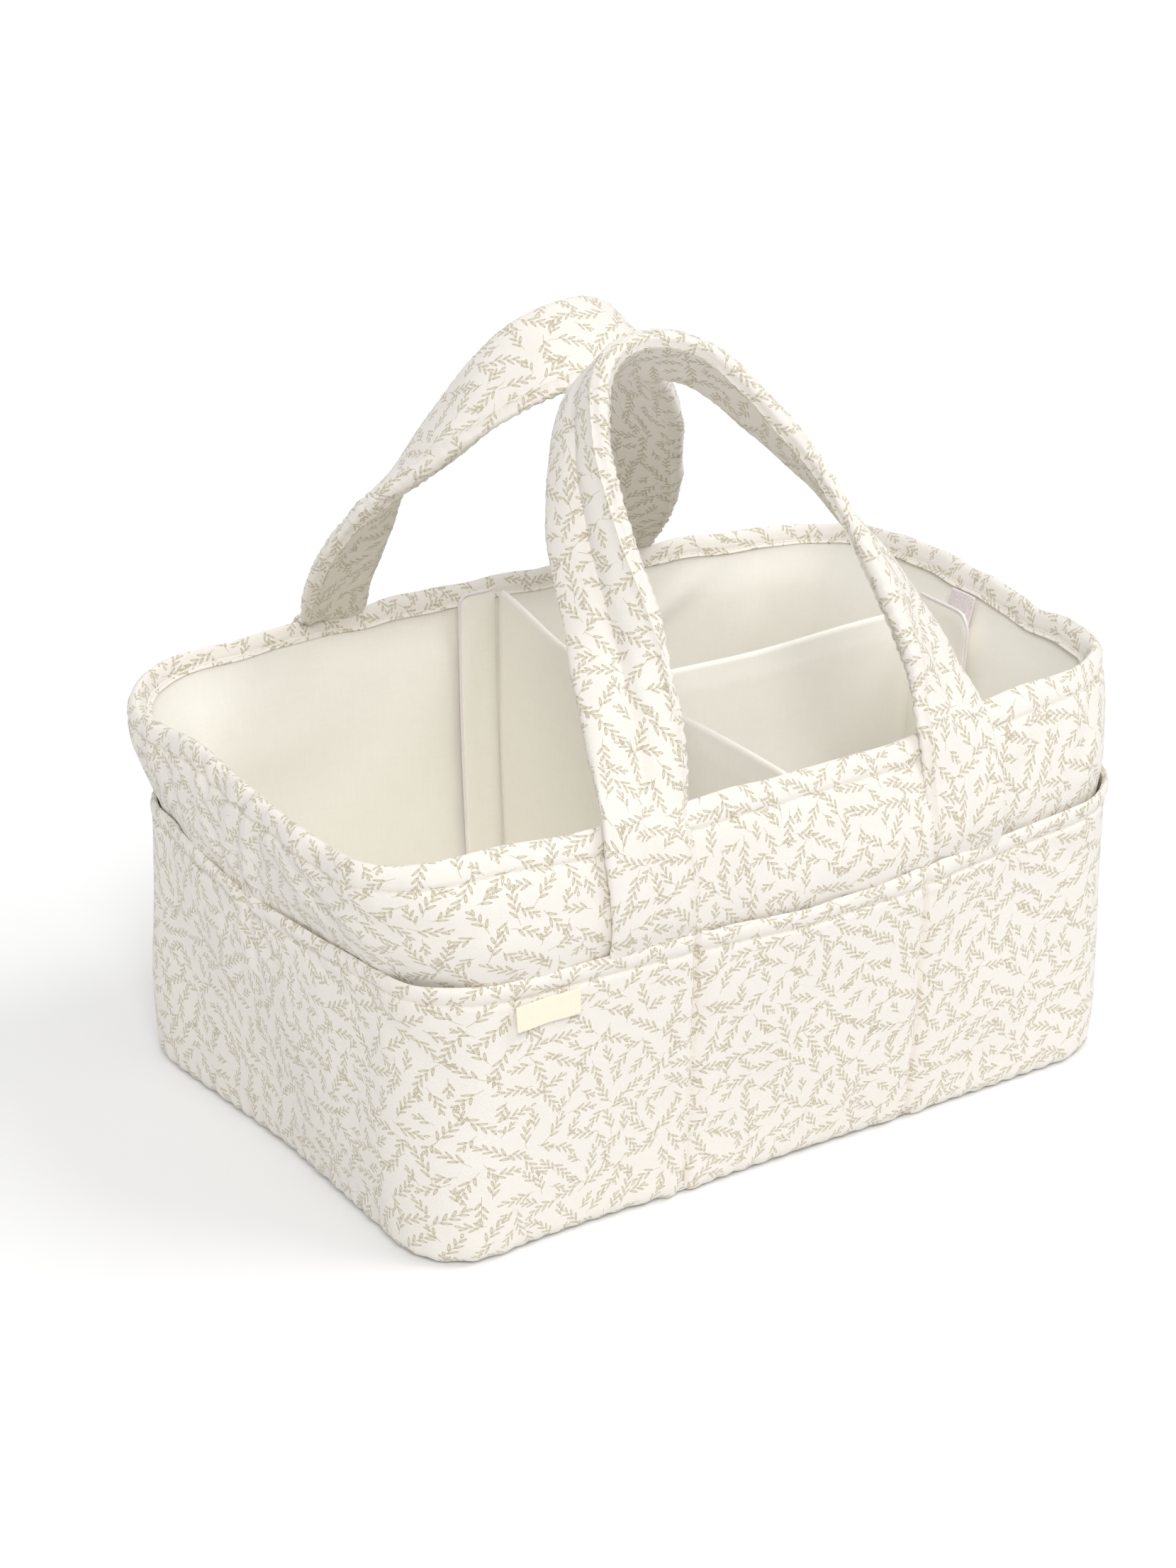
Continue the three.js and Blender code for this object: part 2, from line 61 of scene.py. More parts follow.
# %% Driving sizes
BASE_LENGTH = 0.374
BASE_DEPTH = 0.266
CORNER_RADIUS = 0.034
RIM_HEIGHT = 0.192
RIM_LENGTH = 0.410
RIM_DEPTH = 0.248
RIM_BOW = 0.012
FLARE_POWER = 3
HEM_HEIGHT = 0.134
POCKET_SEAM = 0.062
HALF_LENGTH = BASE_LENGTH / 2
HALF_DEPTH = BASE_DEPTH / 2
STRAIGHT_X = HALF_LENGTH - CORNER_RADIUS
STRAIGHT_Y = HALF_DEPTH - CORNER_RADIUS
LONG_PUFF = 0.007
END_PUFF = 0.002
PUFF_DEPTH = 0.003
WALL_INSET = 0.0033
WRAP_INSET = 0.0063
LINING_INSET = 0.0129
CORNER_ARC = CORNER_RADIUS * math.pi / 2
GIRTH = 4 * (STRAIGHT_X + STRAIGHT_Y + CORNER_ARC)
print("the cloth strip round the basket is", round(GIRTH, 4), "long")

# %% [markdown]
# ## The camera
# The photograph was taken from the front left and above with a long lens. The angles
# and the distance come from a fit to the base, the hem and the rim.

# %% Camera
VIEW_AZIMUTH = math.radians(-34.06)
VIEW_ELEVATION = math.radians(24.19)
VIEW_DISTANCE = 1.6807
FOCAL_PIXELS = 5021.6
LONG_SIDE_PIXELS = 2212
SENSOR_WIDTH = 36.0
AIM_HEIGHT = 0.110
AIM_RIGHT = -0.017835
AIM_UP = 0.022677


def put(name, data):
    """An object with some data, linked to the scene."""
    item = bpy.data.objects.new(name, data)
    bpy.context.scene.collection.objects.link(item)
    return item


def view_vectors():
    """The camera's backward, rightward and upward directions."""
    flat, rise = math.cos(VIEW_ELEVATION), math.sin(VIEW_ELEVATION)
    back = Vector((math.sin(VIEW_AZIMUTH) * flat, -math.cos(VIEW_AZIMUTH) * flat, rise))
    right = Vector((math.cos(VIEW_AZIMUTH), math.sin(VIEW_AZIMUTH), 0))
    return back, right, back.cross(right)


def add_camera():
    """A camera that looks along the photograph's line of sight."""
    back, right, up = view_vectors()
    aim = Vector((0, 0, AIM_HEIGHT)) + right * AIM_RIGHT + up * AIM_UP
    data = bpy.data.cameras.new("view")
    data.sensor_width = SENSOR_WIDTH
    data.sensor_fit = "AUTO"
    data.lens = FOCAL_PIXELS / LONG_SIDE_PIXELS * SENSOR_WIDTH
    camera = put("view", data)
    camera.location = aim + back * VIEW_DISTANCE
    camera.rotation_euler = back.to_track_quat("Z", "Y").to_euler()
    bpy.context.scene.camera = camera
    return camera


camera = add_camera()
print("lens", round(camera.data.lens, 2), "mm at", [round(c, 3) for c in camera.location])

# %% [markdown]
# ## Materials: how a node tree is written
# Every finish here is a small tree of nodes. A helper adds one node, joins its inputs
# and hands back its output as a wire. A sign such as + or * between wires adds the Math
# node that does the sum, so that a pattern reads like arithmetic.

# %% Node helpers
def feed(tree, socket, value):
    """Joins an output to a socket, or writes a plain value there."""
    if isinstance(value, Wire):
        value = value.socket
    if isinstance(value, bpy.types.NodeSocket):
        tree.links.new(value, socket)
    else:
        socket.default_value = value


def calc(tree, operation, a, b=0.0, c=0.0, clamp=False):
    """A Math node. Its output comes back as a wire."""
    node = tree.nodes.new("ShaderNodeMath")
    node.operation = operation
    node.use_clamp = clamp
    for socket, value in zip(node.inputs, (a, b, c)):
        feed(tree, socket, value)
    return Wire(tree, node.outputs[0])


def sign(operation, swapped=False):
    """What a sign such as + does between a wire and something else: it adds a Math node."""
    def add_node(self, other):
        pair = (other, self) if swapped else (self, other)
        return calc(self.tree, operation, *pair)
    return add_node


class Wire:
    """One output of a node. Signs of arithmetic work on it."""

    def __init__(self, tree, socket):
        self.tree = tree
        self.socket = socket

    __add__ = __radd__ = sign("ADD")
    __mul__ = __rmul__ = sign("MULTIPLY")
    __sub__ = sign("SUBTRACT")
    __rsub__ = sign("SUBTRACT", swapped=True)
    __truediv__ = sign("DIVIDE")
    __rtruediv__ = sign("DIVIDE", swapped=True)
    __lt__ = sign("LESS_THAN")
    __gt__ = sign("GREATER_THAN")

    def calc(self, operation, b=0.0, c=0.0):
        return calc(self.tree, operation, self, b, c)


def vector_calc(tree, operation, a, b=(0, 0, 0)):
    """A Vector Math node. SCALE takes a number as its second value."""
    node = tree.nodes.new("ShaderNodeVectorMath")
    node.operation = operation
    feed(tree, node.inputs[0], a)
    feed(tree, node.inputs["Scale"] if operation == "SCALE" else node.inputs[1], b)
    return node.outputs[0]


def split(tree, vector):
    """The three parts of a vector."""
    node = tree.nodes.new("ShaderNodeSeparateXYZ")
    tree.links.new(vector, node.inputs[0])
    return [Wire(tree, part) for part in node.outputs]


def noise(tree, vector, scale, detail=2.0, output="Fac"):
    """Blender's own noise, as one number or as a colour."""
    node = tree.nodes.new("ShaderNodeTexNoise")
    tree.links.new(vector, node.inputs["Vector"])
    node.inputs["Scale"].default_value = scale
    node.inputs["Detail"].default_value = detail
    return Wire(tree, node.outputs[output])


def turned(tree, vector, angle):
    """A vector turned about the z axis."""
    node = tree.nodes.new("ShaderNodeVectorRotate")
    node.rotation_type = "Z_AXIS"
    tree.links.new(vector, node.inputs["Vector"])
    feed(tree, node.inputs["Angle"], angle)
    return node.outputs[0]


def blend_colors(tree, share, first, second):
    """A colour between two others, by a share from 0 to 1."""
    node = tree.nodes.new("ShaderNodeMix")
    node.data_type = "RGBA"
    feed(tree, node.inputs["Factor"], share)
    feed(tree, node.inputs[6], first)
    feed(tree, node.inputs[7], second)
    return node.outputs[2]


def new_material(name, roughness, sheen=0.25):
    """A cloth material with its tree, its shader and nothing linked to it yet."""
    material = bpy.data.materials.new(name)
    material.use_nodes = True
    tree = material.node_tree
    shader = tree.nodes["Principled BSDF"]
    for label, value in (("Roughness", roughness), ("Sheen Weight", sheen),
                         ("Sheen Roughness", 0.6), ("Specular IOR Level", 0.2)):
        shader.inputs[label].default_value = value
    return material, tree, shader


def coat(tree, shader, color, height, strength, distance):
    """Gives the shader its colour and its fine relief."""
    bump = tree.nodes.new("ShaderNodeBump")
    bump.inputs["Strength"].default_value = strength
    bump.inputs["Distance"].default_value = distance
    feed(tree, bump.inputs["Height"], height)
    feed(tree, shader.inputs["Base Color"], color)
    feed(tree, shader.inputs["Normal"], bump.outputs["Normal"])


def tone(red, green, blue):
    """A colour as it is read from a screen, 0 to 255, made linear for the shader."""
    linear = [((c / 255 + 0.055) / 1.055) ** 2.4 if c > 10 else c / 255 / 12.92
              for c in (red, green, blue)]
    return (*linear, 1.0)


# %% [markdown]
# ## The weave
# All the cottons share a fine weave: two rows of waves, one across the other, about
# 0.8 mm apart, with uneven yarns. It reads the flat UV lengths, so the yarns run along
# and across each strip. A slow noise on the same flat map adds a change of colour.

# %% Weave height
YARN_PITCH = 0.0008
YARN_DRIFT = 0.6
YARN_DRIFT_SCALE = 0.15


def flat_lengths(tree):
    """The flat map of the cloth in metres, as a vector."""
    node = tree.nodes.new("ShaderNodeUVMap")
    node.uv_map = "flat"
    return node.outputs[0]


def weave(tree, flat, pitch=YARN_PITCH):
    """Height of a plain weave, about 0 to 1."""
    wander = noise(tree, flat, YARN_DRIFT_SCALE / pitch, 1.0, "Color")
    shifted = vector_calc(tree, "ADD", flat, vector_calc(tree, "SCALE", wander, pitch * YARN_DRIFT))
    u, v, _ = split(tree, shifted)
    waves = [(way * (2 * math.pi / pitch)).calc("SINE") for way in (u, v)]
    return (waves[0] * waves[1]).calc("MULTIPLY_ADD", 0.5, 0.5)


print("yarns lie", YARN_PITCH * 1000, "mm apart")

# %% [markdown]
# ## The sprig print
# The photograph's cloth has a small leafy print. This one is a design of its own in the
# same colours and scale: curved sprigs of slim paired leaves, each in its own cell of a
# square lattice and turned at random, with short three-leaf twigs in the gaps.
# A sprig is drawn by folding. The way along the stem is cut into equal steps, and the
# sheared remainder of each step is one leaf, an ellipse with a darker outline.

# %% One layer of sprigs as a node group
SPRIG_JITTER = 0.22
LEAF_SLOPE = 1.25
LEAF_LENGTHENING = 1.60  # the slanted way is this much longer than the way straight out
LEAF_GAP_SHARE = 1 / LEAF_LENGTHENING
LEAF_EDGE = 0.86
LEAF_INSIDE = 0.9
OUTLINE_REACH = 0.20
STEM_REACH = 0.19
RIB_REACH = 0.10


def sprig_group():
    """Node group: place in millimetres in, strength of the printed line and fill out."""
    group = bpy.data.node_groups.new("sprig layer", "ShaderNodeTree")
    sizes = ("Pitch", "Length", "Leaf", "Width", "Step")
    for way, kind, labels in (("INPUT", "Vector", ("Place", "Shift")), ("INPUT", "Float", sizes),
                              ("OUTPUT", "Float", ("Line", "Fill"))):
        for label in labels:
            group.interface.new_socket(label, in_out=way, socket_type=f"NodeSocket{kind}")
    entry = group.nodes.new("NodeGroupInput").outputs
    leave = group.nodes.new("NodeGroupOutput").inputs
    pitch, length, leaf, width, step = [Wire(group, entry[label]) for label in sizes]
    middle = (0.5, 0.5, 0.5)

    # each sprig has its own cell, and white noise gives it a place, a turn, a bend and a size
    scaled = vector_calc(group, "SCALE", entry["Place"], 1.0 / pitch)
    moved = vector_calc(group, "ADD", scaled, entry["Shift"])
    chance = group.nodes.new("ShaderNodeTexWhiteNoise")
    chance.noise_dimensions = "3D"
    cell = vector_calc(group, "FLOOR", moved)
    group.links.new(vector_calc(group, "ADD", cell, entry["Shift"]), chance.inputs["Vector"])
    luck = chance.outputs["Color"]
    turn_share, bend_share, size_share = split(group, luck)
    jitter = vector_calc(group, "SCALE", vector_calc(group, "SUBTRACT", luck, middle), SPRIG_JITTER)
    centred = vector_calc(group, "SUBTRACT", vector_calc(group, "FRACTION", moved), middle)
    local = vector_calc(group, "SCALE", vector_calc(group, "SUBTRACT", centred, jitter), pitch)
    x, y, _ = split(group, turned(group, local, (turn_share * 37.0).calc("FRACT") * (2 * math.pi)))
    half = length * size_share.calc("MULTIPLY_ADD", 0.14, 0.40)
    x = x - (y * y - half * half * 0.4) * ((bend_share - 0.5) * 0.055)

    # the way along the stem is cut into steps; what is left of a step lies across one leaf
    side = x.calc("ABSOLUTE")
    other = (x > 0.0) * 0.42
    count = (y - side * LEAF_SLOPE) / step + other
    number = count.calc("FLOOR")
    across = (count - number - 0.5) * (step * LEAF_GAP_SHARE)
    outwards = (number + 0.5 - other) * step / half
    present = (outwards < 0.72) * (outwards > -0.8)
    half_reach = leaf * outwards.calc("MULTIPLY_ADD", -0.22, 0.78) * 0.5
    bulge = width * 0.5

    def drawn(distance):
        """Ink on a line: full in its middle, none where the distance is 1 or more."""
        return calc(group, "SUBTRACT", 1.0, distance, clamp=True)

    def outline(ring):
        """Distance from the edge of a leaf, in reaches of its outline."""
        return (ring - LEAF_EDGE).calc("ABSOLUTE") * bulge / OUTLINE_REACH

    ratio = (side * LEAF_LENGTHENING - (half_reach + 0.35)) / half_reach
    rise = across / (bulge * ratio.calc("MULTIPLY_ADD", -0.25, 1.0)).calc("MAXIMUM", 0.2)
    ring = (ratio * ratio + rise * rise).calc("SQRT")
    leaf_line = drawn(outline(ring).calc("SMOOTH_MAX", 0.0, 0.2)) * present
    rib = (across.calc("ABSOLUTE") < RIB_REACH) * (ring < 0.75) * present * 0.5
    tip_y = (y - (half * 0.86 + half_reach)) / half_reach
    tip_x = x / bulge
    tip_ring = (tip_y * tip_y + tip_x * tip_x).calc("SQRT")
    stem = drawn(side / STEM_REACH) * ((y + half * 0.10).calc("ABSOLUTE") < half * 0.98)
    line = leaf_line.calc("MAXIMUM", stem).calc("MAXIMUM", drawn(outline(tip_ring)).calc("MAXIMUM", rib))
    fill = ((ring < LEAF_INSIDE) * present).calc("MAXIMUM", tip_ring < LEAF_INSIDE)
    feed(group, leave["Line"], line)
    feed(group, leave["Fill"], fill)
    return group


SPRIGS = sprig_group()
SPRIG_PITCH = 18.5
SPRIG_SLANT = math.radians(33)
SPRIG_DRIFT = 6.0
SPRIG_DRIFT_SCALE = 0.022
SPRIG_LAYERS = [
    # shift in cells, then length, leaf, leaf width and step in millimetres
    ((0.0, 0.0, 0.0), 17.0, 4.3, 1.15, 3.9),
    ((7.5, 7.5, 0.0), 14.5, 4.1, 1.12, 3.8),
    ((3.5, 11.0, 0.0), 9.0, 3.8, 1.08, 3.5),
    ((5.0, 2.5, 0.0), 8.0, 3.6, 1.06, 3.4),
]


def sprig_print(tree, flat):
    """Strength of the printed lines and of the light leaf fill."""
    place = vector_calc(tree, "SCALE", turned(tree, flat, SPRIG_SLANT), 1000.0)
    drift = noise(tree, place, SPRIG_DRIFT_SCALE, 1.0, "Color")
    place = vector_calc(tree, "ADD", place, vector_calc(tree, "SCALE", drift, SPRIG_DRIFT))
    line = fill = None
    for shift, *sizes in SPRIG_LAYERS:
        node = tree.nodes.new("ShaderNodeGroup")
        node.node_tree = SPRIGS
        tree.links.new(place, node.inputs["Place"])
        for label, value in zip(("Shift", "Pitch", "Length", "Leaf", "Width", "Step"),
                                (shift, SPRIG_PITCH, *sizes)):
            node.inputs[label].default_value = value
        new_line, new_fill = (Wire(tree, node.outputs[label]) for label in ("Line", "Fill"))
        line = line.calc("MAXIMUM", new_line) if line else new_line
        fill = fill.calc("MAXIMUM", new_fill) if fill else new_fill
    return line, fill


print("a sprig layer has", len(SPRIGS.nodes), "nodes, and there are", len(SPRIG_LAYERS), "layers")

# %% [markdown]
# ## The cottons
# The printed cotton has an ivory ground, olive-beige lines and a faint tint inside the
# leaves. The ink sits in the yarns, so it is a little uneven. The lining is plain cream.

# %% Cotton materials
IVORY = tone(241, 236, 228)
IVORY_SHADE = tone(236, 230, 221)
INK = tone(142, 128, 76)
LEAF_TINT = tone(214, 204, 172)
CREAM = tone(254, 251, 243)
LEAF_SHARE = 0.46
INK_SHARE = 0.80


def printed_cotton():
    """Ivory cotton with the sprig print, its ink uneven on the yarns."""
    material, tree, shader = new_material("printed cotton", 0.88)
    flat = flat_lengths(tree)
    line, fill = sprig_print(tree, flat)
    uneven = calc(tree, "MULTIPLY_ADD", noise(tree, flat, 2600.0), 0.7, 0.55, clamp=True)
    ground = blend_colors(tree, noise(tree, flat, 18.0, 3.0) * 0.35, IVORY, IVORY_SHADE)
    tinted = blend_colors(tree, fill * LEAF_SHARE, ground, LEAF_TINT)
    inked = blend_colors(tree, line * (uneven * INK_SHARE), tinted, INK)
    height = noise(tree, flat, 420.0, 3.0).calc("MULTIPLY_ADD", 1.6, weave(tree, flat))
    coat(tree, shader, inked, height, 0.35, 0.00018)
    return material


def plain_cotton(name, color, shade, pitch=0.0006, strength=0.25):
    """A cotton of one colour, with slubs: streaks of thicker yarn along both ways."""
    material, tree, shader = new_material(name, 0.9, 0.15)
    flat = flat_lengths(tree)
    streaks = [noise(tree, vector_calc(tree, "MULTIPLY", flat, stretch), 1300.0, 1.0)
               for stretch in ((1.0, 0.06, 1.0), (0.06, 1.0, 1.0))]
    slubs = (streaks[0] + streaks[1]).calc("MULTIPLY_ADD", 1.1, -0.6)
    share = calc(tree, "ADD", noise(tree, flat, 14.0, 3.0) * 0.5, slubs, clamp=True)
    height = noise(tree, flat, 260.0, 3.0).calc("MULTIPLY_ADD", 1.5, weave(tree, flat, pitch))
    coat(tree, shader, blend_colors(tree, share, color, shade), height, strength, 0.00012)
    return material


PRINTED = printed_cotton()
LINING = plain_cotton("cream cotton", CREAM, tone(249, 246, 236))
RIBBON = plain_cotton("label ribbon", tone(253, 246, 226), tone(249, 240, 217), 0.0004, 0.35)
BINDING = plain_cotton("lilac binding", tone(244, 237, 234), tone(236, 229, 227), 0.0005)
THREAD = plain_cotton("cotton thread", tone(247, 241, 226), tone(238, 230, 212), 0.0005, 0.5)
WADDING = plain_cotton("wadding and board", tone(236, 233, 224), tone(226, 222, 212), 0.0015, 0.5)
print("cloths:", [m.name for m in (PRINTED, LINING, RIBBON, BINDING, THREAD, WADDING)])

# %% [markdown]
# ## The form that every wall cloth follows
# A real basket is sewn from long strips. A point of such a strip is given by how far
# along the strip it lies, how high it is, and how deep inside the outline. The same
# form then leans, flares, bows and puffs all layers together, so they stay nested.
# Last, a table adds what is not even on the real one: it is a soft thing, so its rim has
# flared and sunk at the ends, its corners are pulled in at the hem, and its foot bulges.

# %% From the flat strip to the basket
MARKS = np.cumsum([0, STRAIGHT_Y, CORNER_ARC, 2 * STRAIGHT_X, CORNER_ARC,
                   2 * STRAIGHT_Y, CORNER_ARC, 2 * STRAIGHT_X, CORNER_ARC, STRAIGHT_Y])
SIDE_X = np.array([-1, -1, -1, 1, 1, 1, 1, -1, -1, -1]) * STRAIGHT_X
SIDE_Y = np.array([0, -1, -1, -1, -1, 1, 1, 1, 1, 0]) * STRAIGHT_Y
FACING = np.radians([180, 180, 270, 270, 360, 360, 450, 450, 540, 540])
FRONT_MIDDLE = STRAIGHT_Y + CORNER_ARC + STRAIGHT_X
RIGHT_MIDDLE = GIRTH / 2
BACK_MIDDLE = GIRTH / 2 + FRONT_MIDDLE


def smooth_step(value):
    value = np.clip(value, 0, 1)
    return value * value * (3 - 2 * value)


def bump_at(value, centre, width):
    """A soft bump of height 1 at a centre."""
    return np.exp(-((value - centre) / width) ** 2)


def round_gap(u, centre):
    """Signed way along the strip from a centre, the short way round."""
    return (u - centre + GIRTH / 2) % GIRTH - GIRTH / 2


def fullness(z):
    """Swelling of the wadding: none at the foot and the rim, most at the hem."""
    below = np.sin(np.pi / 2 * np.clip(z / HEM_HEIGHT, 0, 1))
    above = np.cos(np.pi / 2 * np.clip((z - HEM_HEIGHT) / (RIM_HEIGHT - HEM_HEIGHT), 0, 1))
    return np.where(z < HEM_HEIGHT, below, above)


PULLS = [
    # place along the strip; mm outward at the foot, the hem and the rim; mm upward at both
    (0.000, 2.5, 2.5, 8.5, -1.0, -4.0),
    (0.055, 4.0, -2.0, 11.0, 0.0, -5.0),
    (0.099, 5.5, -6.0, 8.0, 1.5, -6.0),
    (0.126, 10.0, -6.0, 5.0, 1.5, -3.0),
    (0.155, 3.0, 0.0, 3.0, -1.0, 0.0),
    (0.200, 3.0, 1.0, 5.0, 0.0, -3.0),
    (0.243, 5.5, 4.5, 4.5, 0.0, -2.0),
    (0.305, 5.0, 7.0, 3.0, -2.0, -1.0),
    (0.367, 7.0, 6.0, 3.0, -1.0, -2.0),
    (0.420, 8.0, 1.5, -2.0, 0.0, 1.5),
    (0.455, 8.0, -1.0, -3.5, 0.0, 2.5),
    (0.484, 9.0, -1.5, -3.0, 2.0, 1.5),
    (0.512, 2.0, -0.5, 6.5, 0.0, 5.0),
    (0.560, 1.0, -0.5, 8.5, 0.0, 4.0),
    (0.611, 1.0, 0.0, 12.5, 0.0, 7.5),
    (0.660, 1.0, 0.0, 12.5, 0.0, 9.0),
    (0.710, 1.0, 0.0, 7.5, 0.0, 3.5),
    (0.737, 1.5, 0.0, 3.0, 0.0, -1.5),
    (0.765, 1.5, 0.0, 2.5, 0.0, -1.0),
    (0.840, 1.5, 3.0, 4.0, 0.0, 2.0),
    (0.916, 1.5, 6.0, 5.0, -1.0, 1.5),
    (0.990, 1.5, 3.0, 7.0, 0.0, 3.5),
    (1.050, 1.0, -1.0, 9.0, 0.0, 2.5),
    (1.075, 2.0, -3.0, 11.5, 0.0, 1.5),
    (1.095, 6.0, -6.0, 8.0, 0.0, 0.0),
    (1.122, 10.0, -7.0, 6.5, 0.0, -7.0),
    (1.170, 6.5, -1.0, 4.5, 0.0, -3.0),
]
PULL_STEPS = 1200
PULL_SMOOTH = 30


def pull_rows():
    """The table as smooth rows over the whole strip, in metres."""
    table = np.array(PULLS + [(GIRTH, *PULLS[0][1:])])
    fine = np.linspace(0, GIRTH, PULL_STEPS + 1)[:-1]
    kernel = np.exp(-np.linspace(-3, 3, 2 * PULL_SMOOTH + 1) ** 2 / 2)
    kernel /= kernel.sum()
    rows = []
    for column in table.T[1:]:
        rough = np.interp(fine, table[:, 0], column) / 1000
        around = np.concatenate([rough[-PULL_SMOOTH:], rough, rough[:PULL_SMOOTH]])
        rows.append(np.convolve(around, kernel, "valid"))
    return fine, rows


PULL_PLACES, PULL_ROWS = pull_rows()


def cloth_pull(u, z):
    """How far the cloth at a place is pulled outward and upward."""
    rows = (np.interp(np.mod(u, GIRTH), PULL_PLACES, row, period=GIRTH) for row in PULL_ROWS)
    foot, hem, rim, hem_up, rim_up = rows
    low = smooth_step(z / HEM_HEIGHT)
    high = smooth_step((z - HEM_HEIGHT) / (RIM_HEIGHT - HEM_HEIGHT))
    out = (foot * (1 - low) + hem * low) * (1 - high) + rim * high
    turns = 2 * np.pi * u / GIRTH
    wave = 0.0003 * np.sin(23 * turns + 1.3) + 0.0002 * np.sin(37 * turns + 0.4) + 0.0003 * np.sin(11 * turns)
    return out + wave * high, hem_up * low * (1 - high) + (rim_up + wave) * high


def form_at(x, z):
    """How far the form flares at a place, and its scale there from front to back."""
    rise = z / RIM_HEIGHT
    along = np.minimum(1, np.abs(x) / HALF_LENGTH)
    flare = (RIM_LENGTH - BASE_LENGTH) / 2 * along ** FLARE_POWER
    depth = RIM_DEPTH / 2 + RIM_BOW * (1 - along ** 2)
    return np.sign(x) * flare * rise, 1 + rise * (depth / HALF_DEPTH - 1)


def basket_place(u, z, inset, off=0.0):
    """Places of wall points: way along the strip, height, depth inside, and way off."""
    u, z, inset, off = np.broadcast_arrays(u, z, inset, off)
    u = np.mod(u, GIRTH)
    angle = np.interp(u, MARKS, FACING)
    out_x, out_y = np.cos(angle), np.sin(angle)
    x = np.interp(u, MARKS, SIDE_X) + out_x * (CORNER_RADIUS - inset)
    y = np.interp(u, MARKS, SIDE_Y) + out_y * (CORNER_RADIUS - inset)
    puff = LONG_PUFF * out_y ** 2 + END_PUFF * out_x ** 2
    swell = puff * fullness(z) * np.clip((WRAP_INSET - inset) / PUFF_DEPTH, 0, 1)
    flare, lean = form_at(x, z)
    pull_out, pull_up = cloth_pull(u, z)
    x = x + flare + out_x * (swell + off + pull_out)
    y = y * lean + out_y * (swell + off + pull_out)
    return np.stack([x, y, z + pull_up], axis=-1)


print("the rim's corner lies at", basket_place(STRAIGHT_Y, RIM_HEIGHT, WALL_INSET).round(4))

# %% [markdown]
# ## Smooth random unevenness
# No cloth is quite even. A small value noise, made from nothing but sines, gives the
# same unevenness each time the script runs.

# %% Noise in space
def soft_noise(places, size, seed):
    """Smooth random heights from -1 to 1 at places, with cells of a given size."""
    cells = np.asarray(places, float) / size + seed * 7.31
    base = np.floor(cells)
    part = cells - base
    part = part * part * (3 - 2 * part)
    total = np.zeros(cells.shape[:-1])
    for corner in np.ndindex(2, 2, 2):
        key = (base + np.array(corner)) @ np.array([127.1, 311.7, 74.7])
        height = np.modf(np.sin(key) * 43758.5453)[0]
        weight = np.prod(np.where(np.array(corner) == 1, part, 1 - part), axis=-1)
        total += height * weight
    return total


def unevenness(places, seed, *layers):
    """Layers of soft noise added up. Each is an amount and a size, with a seed of its own."""
    return sum(amount * soft_noise(places, size, seed + k) for k, (amount, size) in enumerate(layers))


print("noise at three places", soft_noise(np.eye(3), 0.045, 3).round(3))


# %% [markdown]
# ## A cloth as a grid
# Cloth is a woven grid, so it is made as one: columns along it and rows across it, with
# a place for every crossing. Its UV map keeps the flat lengths in metres, and the print
# and the weave are drawn on that, so they run over the folds as on a real sheet. Relief
# such as a stitched groove is a height over the same grid, added along its normals.

# %% Grid cloth
WELD_DISTANCE = 1e-6
SMOOTH_ANGLE = math.radians(50)


def grid_normals(points, loop_u, loop_v):
    """Normals of a grid of points, by the differences along its two ways."""
    def difference(axis, loop):
        if loop:
            return np.roll(points, -1, axis) - np.roll(points, 1, axis)
        return np.gradient(points, axis=axis)
    normal = np.cross(difference(0, loop_u), difference(1, loop_v))
    return normal / np.maximum(np.linalg.norm(normal, axis=-1, keepdims=True), 1e-12)


def way_of(line):
    """How far along a line each of its points lies."""
    return np.concatenate([[0], np.cumsum(np.linalg.norm(np.diff(line, axis=0), axis=1))])


def unit(vectors):
    """The same directions with length 1."""
    return vectors / np.linalg.norm(vectors, axis=-1, keepdims=True)


def way_along(points, axis):
    """Mean length along one way of a grid, from 0, with the closing step added."""
    steps = np.linalg.norm(np.diff(points, axis=axis, append=np.take(points, [0], axis)), axis=-1)
    return np.concatenate([[0], np.cumsum(steps.mean(axis=1 - axis))])


def make_grid(name, points, us, vs, loop_u=False, loop_v=False, caps=False):
    """A mesh from a grid of points. us and vs are its flat lengths in metres."""
    columns, rows = points.shape[:2]
    i = np.arange(columns if loop_u else columns - 1)
    j = np.arange(rows if loop_v else rows - 1)
    i, j = (a.ravel() for a in np.meshgrid(i, j, indexing="ij"))
    i_next, j_next = (i + 1) % columns, (j + 1) % rows
    corners = [(i, j), (i_next, j), (i_next, j_next), (i, j_next)]
    faces = np.stack([a * rows + b for a, b in corners], axis=1).tolist()
    flat = [(i, j), (i + 1, j), (i + 1, j + 1), (i, j + 1)]
    uv = np.stack([np.stack([us[a], vs[b]], -1) for a, b in flat], axis=1).reshape(-1, 2)
    if caps:
        first, last = list(range(rows)), [(columns - 1) * rows + k for k in range(rows)]
        faces += [first[::-1], last]
        uv = np.concatenate([uv, np.full((2 * rows, 2), us[0])])
    mesh = bpy.data.meshes.new(name)
    mesh.from_pydata(points.reshape(-1, 3).tolist(), [], faces)
    layer = mesh.uv_layers.new(name="flat")
    layer.uv.foreach_set("vector", uv.ravel().astype(np.float32))
    return put(name, mesh)


def only(piece):
    """Selects one piece alone, as a click on it would."""
    if bpy.context.mode != "OBJECT":
        bpy.ops.object.mode_set(mode="OBJECT")
    bpy.ops.object.select_all(action="DESELECT")
    piece.select_set(True)
    bpy.context.view_layer.objects.active = piece
    return piece


